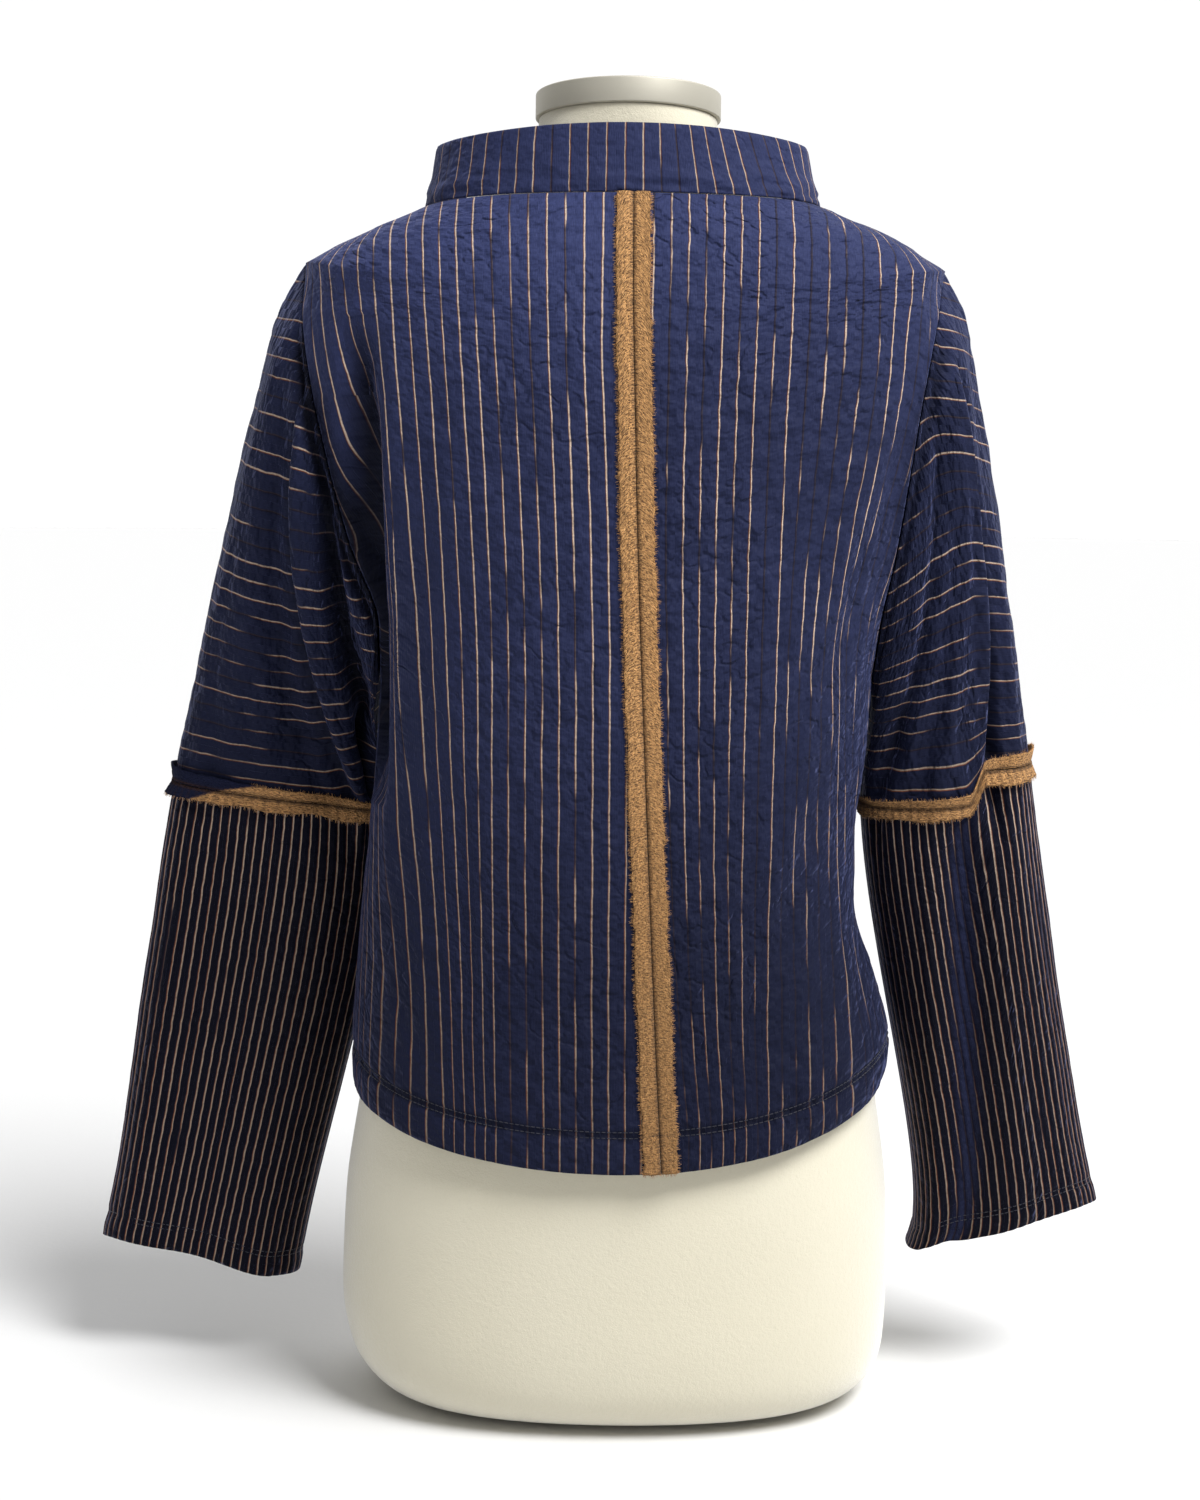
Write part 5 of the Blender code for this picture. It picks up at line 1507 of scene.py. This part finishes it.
def make_lower_sleeve(name, settings):
    """The forearm piece: ribs and stripes run down it, and its cuff is turned up and stitched."""
    rows, per_stripe = LOWER_SLEEVE_GRID
    columns = settings.forearm_stripes * per_stripe
    angles = even_angles(name, columns)
    along, angle = np.meshgrid(np.linspace(1 + ELBOW_GAP, 2, rows + 1), angles, indexing="ij")
    face, normal = sleeve_point(name, angle, along), sleeve_normal(name, angle, along)
    from_top = length_along(face, 0)
    from_cuff = from_top[-1:] - from_top
    spot = np.linspace(0, FOREARM_ROUND, columns + 1)
    number = spot[:-1] / forearm_pitch(settings)
    seed = 101 if name == "left" else 111
    relief = -FOREARM_RIB * (0.5 + 0.5 * np.cos(2 * math.pi * number)) ** 1.5 * np.ones_like(from_top)
    relief += 0.00016 * soft_noise(np.round(number) * 1.7, from_top / 0.008, seed)
    relief += 0.0005 * soft_noise(spot[:-1] / 0.03, from_top / 0.05, seed + 1)
    open_area = smooth_step(0.0, 0.010, from_top) * away_from_body(angle)
    crease = -tube_folds(SLEEVE_CREASES[name], angle, along) * open_area
    roll, grooves = turned_up(from_cuff, CUFF_HEM_DEPTH, CUFF_STITCH_ROWS, 0.0012, (0.005, 0.006))
    relief = relief * open_area + crease + CUFF_ROLL * roll - CUFF_GROOVE * grooves
    outer = face + normal * relief[..., None]
    inner = face + normal * (crease - folded_thickness(from_cuff, CUFF_HEM_DEPTH))[..., None]
    heights = wrapped(from_top)
    cloth_uv = np.stack([np.broadcast_to(spot, heights.shape), heights], axis=-1)
    piece = cloth_wall(f"lower_sleeve_{name}_cloth", outer, inner, cloth_uv, material("forearm", settings),
                       True)
    if name == "right":
        paint(piece, "faded", np.clip(tube_folds(FADED_LINES, angle, along), 0, 1))
    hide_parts(f"lower_sleeve_{name}")
    return piece


# ---------------------------------------------------------------- stitches
def make_stitches(name, lines, settings):
    """Rows of stitches: on each line, short six-sided spindles that lie on the cloth end to end, with a gap
    between. Each has four rings of the radii in STITCH_RADII."""
    points, faces = [], []
    share = np.array([0.0, 0.25, 0.75, 1.0])
    turn = np.arange(6) * math.pi / 3
    sides = [(row * 6 + k, row * 6 + (k + 1) % 6) for row in range(3) for k in range(6)]
    spindle = [(a, b, b + 6, a + 6) for a, b in sides]
    spindle += [(0, k, k + 1, k + 2) for k in (1, 3)]
    spindle += [(20 + k, 19 + k, 18 + k, 18) for k in (1, 3)]
    for line, up in lines:
        run = run_along(line)
        starts = np.arange(0, run[-1] - STITCH, STITCH + STITCH_GAP)
        at = starts[:, None] + STITCH * share
        middle, normal = read_line(at, run, line), unit(read_line(at, run, up))
        direction = unit(middle[:, -1:] - middle[:, :1])
        side = unit(np.cross(direction, normal))
        ring = np.cos(turn)[:, None] * side[:, :, None] + np.sin(turn)[:, None] * normal[:, :, None]
        tube = middle[:, :, None] + ring * np.array(STITCH_RADII)[:, None, None]
        offsets = sum(len(p) for p in points) + 24 * np.arange(len(starts))
        points.append(tube.reshape(-1, 3))
        faces.append((np.array(spindle)[None] + offsets[:, None, None]).reshape(-1, 4))
    points, faces = np.concatenate(points), np.concatenate(faces)
    return mesh_piece(name, points, faces, material("stitch", settings))


def body_stitch_line(side, offset):
    """A line on a back panel or the front, a set height above the hem, with the outward direction on it."""
    levels = np.linspace(0, 1.4, 40)
    front = side == "front"
    if front:
        places = np.linspace(0.01, 1.99, 260)
    else:
        near = centre_seam_place(np.array([0.5]), SIDE[side] * 0.0125)[0]
        places = np.linspace(near, 0.012 if side == "right" else 1.988, 140)
    level, place = np.meshgrid(levels, places, indexing="ij")
    height = length_along(body_point(level, place, front), 0)
    at = np.array([np.interp(HEM_DEPTH + offset, run, levels) for run in height.T])
    normal = body_normal(at, places, front)
    return body_point(at, places, front) - normal * STITCH_SINK, normal


def cuff_stitch_line(name, offset):
    """The same round a cuff."""
    angles = np.linspace(-math.pi, math.pi, 240)
    shares = np.linspace(1.85, 2.0, 30)
    along, angle = np.meshgrid(shares, angles, indexing="ij")
    run = length_along(sleeve_point(name, angle, along), 0)
    from_cuff = run[-1:] - run
    at = np.array([np.interp(-(CUFF_HEM_DEPTH + offset), -line, shares) for line in from_cuff.T])
    normal = sleeve_normal(name, angles, at)
    return sleeve_point(name, angles, at) - normal * STITCH_SINK, normal


# ---------------------------------------------------------------- dress form
def closed_rings(rings, low, high):
    """Points and triangles of a stack of rings, closed by a fan to a point at each end."""
    columns = rings.shape[1]
    count = len(rings) * columns
    index = wrapped(np.arange(count).reshape(-1, columns))
    quads = grid_faces(index)
    bottom = np.stack([index[0, 1:], index[0, :-1], np.full(columns, count)], axis=-1)
    top = np.stack([index[-1, :-1], index[-1, 1:], np.full(columns, count + 1)], axis=-1)
    points = np.concatenate([rings.reshape(-1, 3), [low], [high]])
    return points, np.concatenate([quads[:, [0, 1, 2]], quads[:, [0, 2, 3]], bottom, top])


def make_form(settings):
    """The form: rings through its table, with a slanting cut at the neck, closed at both ends."""
    rows, columns = FORM_GRID
    angles = np.linspace(0, 2 * math.pi, columns, endpoint=False)
    low = np.linspace(0, 3, 22, endpoint=False)
    levels = np.concatenate([low, np.linspace(3, len(FORM_LEVELS) - 1, rows - len(low))])
    level, angle = np.meshgrid(levels, angles, indexing="ij")
    rings = closed_section(FORM_LEVELS, FORM_COLUMNS, level, angle)
    tilt = np.array([0.0, math.cos(CAP_TILT), -math.sin(CAP_TILT)])
    round_neck = np.cos(angles)[:, None] * np.array([1.0, 0, 0]) - np.sin(angles)[:, None] * tilt
    share = np.linspace(0, 1, 8)[1:, None, None]
    neck_rings = rings[-1] * (1 - share) + (NECK_TOP + NECK_RADIUS * round_neck) * share
    points, triangles = closed_rings(np.concatenate([rings, neck_rings]), (0.0, 0.0, 0.0), NECK_TOP)
    cover = jersey_finish(tuple(settings.jersey))
    piece = mesh_piece("dress_form_cover", points, triangles, cover)
    piece.data.set_sharp_from_angle(angle=math.radians(50))
    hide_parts("dress_form")
    return piece


def make_cap(settings):
    """The cap: a profile with rounded rims turned round the slanting neck's axis."""
    radius, height, rim = CAP_RADIUS, CAP_HEIGHT, CAP_RIM
    edge, dip = radius - CAP_LIP, height - CAP_SINK
    quarter = np.linspace(0, math.pi / 2, 6)
    low = [(radius - rim + rim * math.sin(q), rim - rim * math.cos(q)) for q in quarter]
    high = [(radius - rim + rim * math.cos(q), height - rim + rim * math.sin(q)) for q in quarter]
    inner = [(edge, height), (edge - 0.0004, height - 0.0005), (edge - 0.004, dip)]
    out, up = np.array(low + high + inner).T[:, :, None]
    turn = np.linspace(0, 2 * math.pi, CAP_COLUMNS, endpoint=False)
    rings = np.stack(np.broadcast_arrays(out * np.cos(turn), out * np.sin(turn), up), axis=-1)
    points, triangles = closed_rings(rings, (0.0, 0.0, 0.0), (0.0, 0.0, dip))
    slant = np.array(Matrix.Rotation(-CAP_TILT, 3, "X"))
    points = points @ slant.T + NECK_TOP + slant @ np.array([0, 0, SEAM_GAP])
    metal = metal_finish(tuple(settings.cap))
    piece = mesh_piece("neck_cap_metal", points, triangles, metal)
    piece.data.set_sharp_from_angle(angle=math.radians(40))
    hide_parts("neck_cap")
    return piece


# ---------------------------------------------------------------- stage
FLOOR_RADIUS = 14.0
CAMERA_PLACE = (-0.0132, -1.587, 0.6222)
CAMERA_PITCH = math.radians(7.3)
CAMERA_ROLL = math.radians(0.64)
# Soft lights: kind, where each stands, where it points, its spread (degrees, or metres across for an area
# light) and its share of the key's power.
LIGHTS = {
    "key": ("SUN", (1.35, -1.05, 2.9), (0.0, 0.0, 0.5), 28, 0.70),
    "shoulder": ("AREA", (0.70, -0.85, 1.62), (0.0, 0.0, 0.72), 0.7, 3.2),
}


def make_floor(settings):
    """A plain floor: a round plane, far wider than the view."""
    turn = np.linspace(0, 2 * math.pi, 64, endpoint=False)
    edge = np.stack([FLOOR_RADIUS * np.cos(turn), FLOOR_RADIUS * np.sin(turn), 0 * turn], axis=-1)
    mesh = bpy.data.meshes.new("floor")
    mesh.from_pydata(edge.tolist(), [], [list(range(64))])
    n = Nodes("floor_paper")
    grain = n.noise(n.object_place(), 220.0)
    colour = tuple(settings.floor)
    tone = n.mix(n.ramp(grain, 0.3, 0.7, 0.0, 0.15), colour, tinted(colour, 0.97))
    mesh.materials.append(n.finish(tone, 0.9, n.bump(grain, 0.0001), Specular_IOR_Level=0.1))
    floor = bpy.data.objects.new("floor", mesh)
    bpy.context.scene.collection.objects.link(floor)


def aim(place, target):
    """A rotation that points -Z from a place to a target, with +Y up."""
    back = np.array(place) - np.array(target)
    back = back / np.linalg.norm(back)
    right = np.cross((0, 0, 1), back)
    right /= np.linalg.norm(right)
    up = np.cross(back, right)
    return Matrix(np.stack([right, up, back], axis=1).tolist()).to_4x4()


def make_world(settings):
    """A bright studio: white behind the form, brighter overhead, darker on the camera's side."""
    world = bpy.data.worlds.new("studio")
    world.use_nodes = True
    tree = world.node_tree
    background = tree.nodes["Background"]
    place = tree.nodes.new("ShaderNodeTexCoord")
    split = tree.nodes.new("ShaderNodeSeparateXYZ")
    tree.links.new(place.outputs["Generated"], split.inputs[0])
    behind = tree.nodes.new("ShaderNodeMapRange")
    above = tree.nodes.new("ShaderNodeMapRange")
    ranges = (
        (behind, "Y", (-0.15, 0.75, settings.camera_side, settings.backdrop)),
        (above, "Z", (0.15, 0.75, 0.0, settings.overhead)),
    )
    for node, axis, numbers in ranges:
        node.interpolation_type = "SMOOTHSTEP"
        tree.links.new(split.outputs[axis], node.inputs[0])
        for socket, number in zip(node.inputs[1:5], numbers):
            socket.default_value = number
    total = tree.nodes.new("ShaderNodeMath")
    tree.links.new(behind.outputs[0], total.inputs[0])
    tree.links.new(above.outputs[0], total.inputs[1])
    tree.links.new(total.outputs[0], background.inputs["Color"])
    bpy.context.scene.world = world
    bpy.context.scene.view_settings.view_transform = "Standard"


def make_lights(settings):
    """A wide soft sun from above the camera, to the right of it, and a near lamp over the shoulders."""
    for name, (kind, place, target, spread, share) in LIGHTS.items():
        light = bpy.data.lights.new(name, kind)
        if kind == "SUN":
            light.angle = math.radians(spread)
        else:
            light.shape, light.size = "DISK", spread
        light.energy = settings.key_power * share
        lamp = bpy.data.objects.new(name, light)
        lamp.matrix_world = Matrix.Translation(place) @ aim(place, target)
        bpy.context.scene.collection.objects.link(lamp)


def make_camera(settings):
    """The camera of the photograph: a little above the waist, pitched down, with a slight roll."""
    data = bpy.data.cameras.new("camera")
    data.lens = settings.focal_length
    data.sensor_width = 36.0
    data.clip_start, data.clip_end = 0.05, 60.0
    camera = bpy.data.objects.new("camera", data)
    turn = Matrix.Rotation(math.pi / 2 - CAMERA_PITCH, 4, "X") @ Matrix.Rotation(CAMERA_ROLL, 4, "Z")
    camera.matrix_world = Matrix.Translation(CAMERA_PLACE) @ turn
    bpy.context.scene.collection.objects.link(camera)
    bpy.context.scene.camera = camera


# ---------------------------------------------------------------- operators
class MOCKNECK_OT_back_panels(bpy.types.Operator):
    """Make the two back panels"""

    bl_idname = "mockneck.back_panels"
    bl_label = "Back panels"

    def execute(self, context):
        for side in SIDE:
            piece = make_back_panel(side, context.scene.mockneck_cloth)
        return {"FINISHED"}


class MOCKNECK_OT_front_panel(bpy.types.Operator):
    """Make the plain front panel"""

    bl_idname = "mockneck.front_panel"
    bl_label = "Front panel"

    def execute(self, context):
        piece = make_front_panel(context.scene.mockneck_cloth)
        return {"FINISHED"}


class MOCKNECK_OT_collar(bpy.types.Operator):
    """Make the mock neck collar"""

    bl_idname = "mockneck.collar"
    bl_label = "Collar"

    def execute(self, context):
        piece = make_collar(context.scene.mockneck_cloth)
        return {"FINISHED"}


class MOCKNECK_OT_centre_strips(bpy.types.Operator):
    """Make the raw allowances of the centre back seam"""

    bl_idname = "mockneck.centre_strips"
    bl_label = "Centre back allowances"

    def execute(self, context):
        for side in SIDE:
            piece, *fringes = make_centre_strip(side, context.scene.mockneck_cloth)
        return {"FINISHED"}


class MOCKNECK_OT_sleeves(bpy.types.Operator):
    """Make the upper and lower sleeves"""

    bl_idname = "mockneck.sleeves"
    bl_label = "Sleeves"

    def execute(self, context):
        for name in SIDE:
            upper = make_upper_sleeve(name, context.scene.mockneck_cloth)
            lower = make_lower_sleeve(name, context.scene.mockneck_cloth)
        return {"FINISHED"}


class MOCKNECK_OT_elbow_strips(bpy.types.Operator):
    """Make the raw allowances of the elbow seams"""

    bl_idname = "mockneck.elbow_strips"
    bl_label = "Elbow allowances"

    def execute(self, context):
        for name in SIDE:
            for upper in (True, False):
                piece, fringe = make_elbow_strip(name, upper, context.scene.mockneck_cloth)
        return {"FINISHED"}


class MOCKNECK_OT_stitches(bpy.types.Operator):
    """Make the stitches of the hem and cuffs"""

    bl_idname = "mockneck.stitches"
    bl_label = "Hem and cuff stitches"

    def execute(self, context):
        sides = ("left", "right", "front")
        rows = [body_stitch_line(side, offset) for side in sides for offset in HEM_STITCH_ROWS]
        make_stitches("hem_stitches", rows, context.scene.mockneck_cloth)
        for name in SIDE:
            rows = [cuff_stitch_line(name, offset) for offset in CUFF_STITCH_ROWS]
            make_stitches(f"cuff_stitches_{name}", rows, context.scene.mockneck_cloth)
        return {"FINISHED"}


class MOCKNECK_OT_dress_form(bpy.types.Operator):
    """Make the dress form and its neck cap"""

    bl_idname = "mockneck.dress_form"
    bl_label = "Dress form"

    def execute(self, context):
        make_form(context.scene.mockneck_form)
        make_cap(context.scene.mockneck_form)
        return {"FINISHED"}


class MOCKNECK_OT_stage(bpy.types.Operator):
    """Make the floor, the lights and the camera"""

    bl_idname = "mockneck.stage"
    bl_label = "Stage"

    def execute(self, context):
        make_floor(context.scene.mockneck_stage)
        make_world(context.scene.mockneck_stage)
        make_lights(context.scene.mockneck_stage)
        make_camera(context.scene.mockneck_stage)
        return {"FINISHED"}


class MOCKNECK_PT_sidebar(bpy.types.Panel):
    """The sizes, the colours and a button for each piece"""

    bl_idname = "MOCKNECK_PT_sidebar"
    bl_label = "Mock Neck Top"
    bl_space_type = "VIEW_3D"
    bl_region_type = "UI"
    bl_category = "Mock Neck Top"

    def draw(self, context):
        for group in ("mockneck_cloth", "mockneck_form", "mockneck_stage"):
            settings = getattr(context.scene, group)
            box = self.layout.box()
            for key in settings.__annotations__:
                box.prop(settings, key)
        for operator in OPERATORS:
            self.layout.operator(operator.bl_idname)


SETTINGS = {
    "mockneck_cloth": MockNeckClothSettings,
    "mockneck_form": MockNeckFormSettings,
    "mockneck_stage": MockNeckStageSettings,
}
OPERATORS = (
    MOCKNECK_OT_stage,
    MOCKNECK_OT_dress_form,
    MOCKNECK_OT_back_panels,
    MOCKNECK_OT_front_panel,
    MOCKNECK_OT_collar,
    MOCKNECK_OT_sleeves,
    MOCKNECK_OT_centre_strips,
    MOCKNECK_OT_elbow_strips,
    MOCKNECK_OT_stitches,
)
CLASSES = (*SETTINGS.values(), *OPERATORS, MOCKNECK_PT_sidebar)


def register():
    for cls in CLASSES:
        bpy.utils.register_class(cls)
    for name, group in SETTINGS.items():
        setattr(bpy.types.Scene, name, bpy.props.PointerProperty(type=group))


def unregister():
    for name in SETTINGS:
        delattr(bpy.types.Scene, name)
    for cls in reversed(CLASSES):
        bpy.utils.unregister_class(cls)


def main():
    register()
    for operator in OPERATORS:
        family, action = operator.bl_idname.split(".")
        getattr(getattr(bpy.ops, family), action)()


if __name__ == "__main__":
    main()
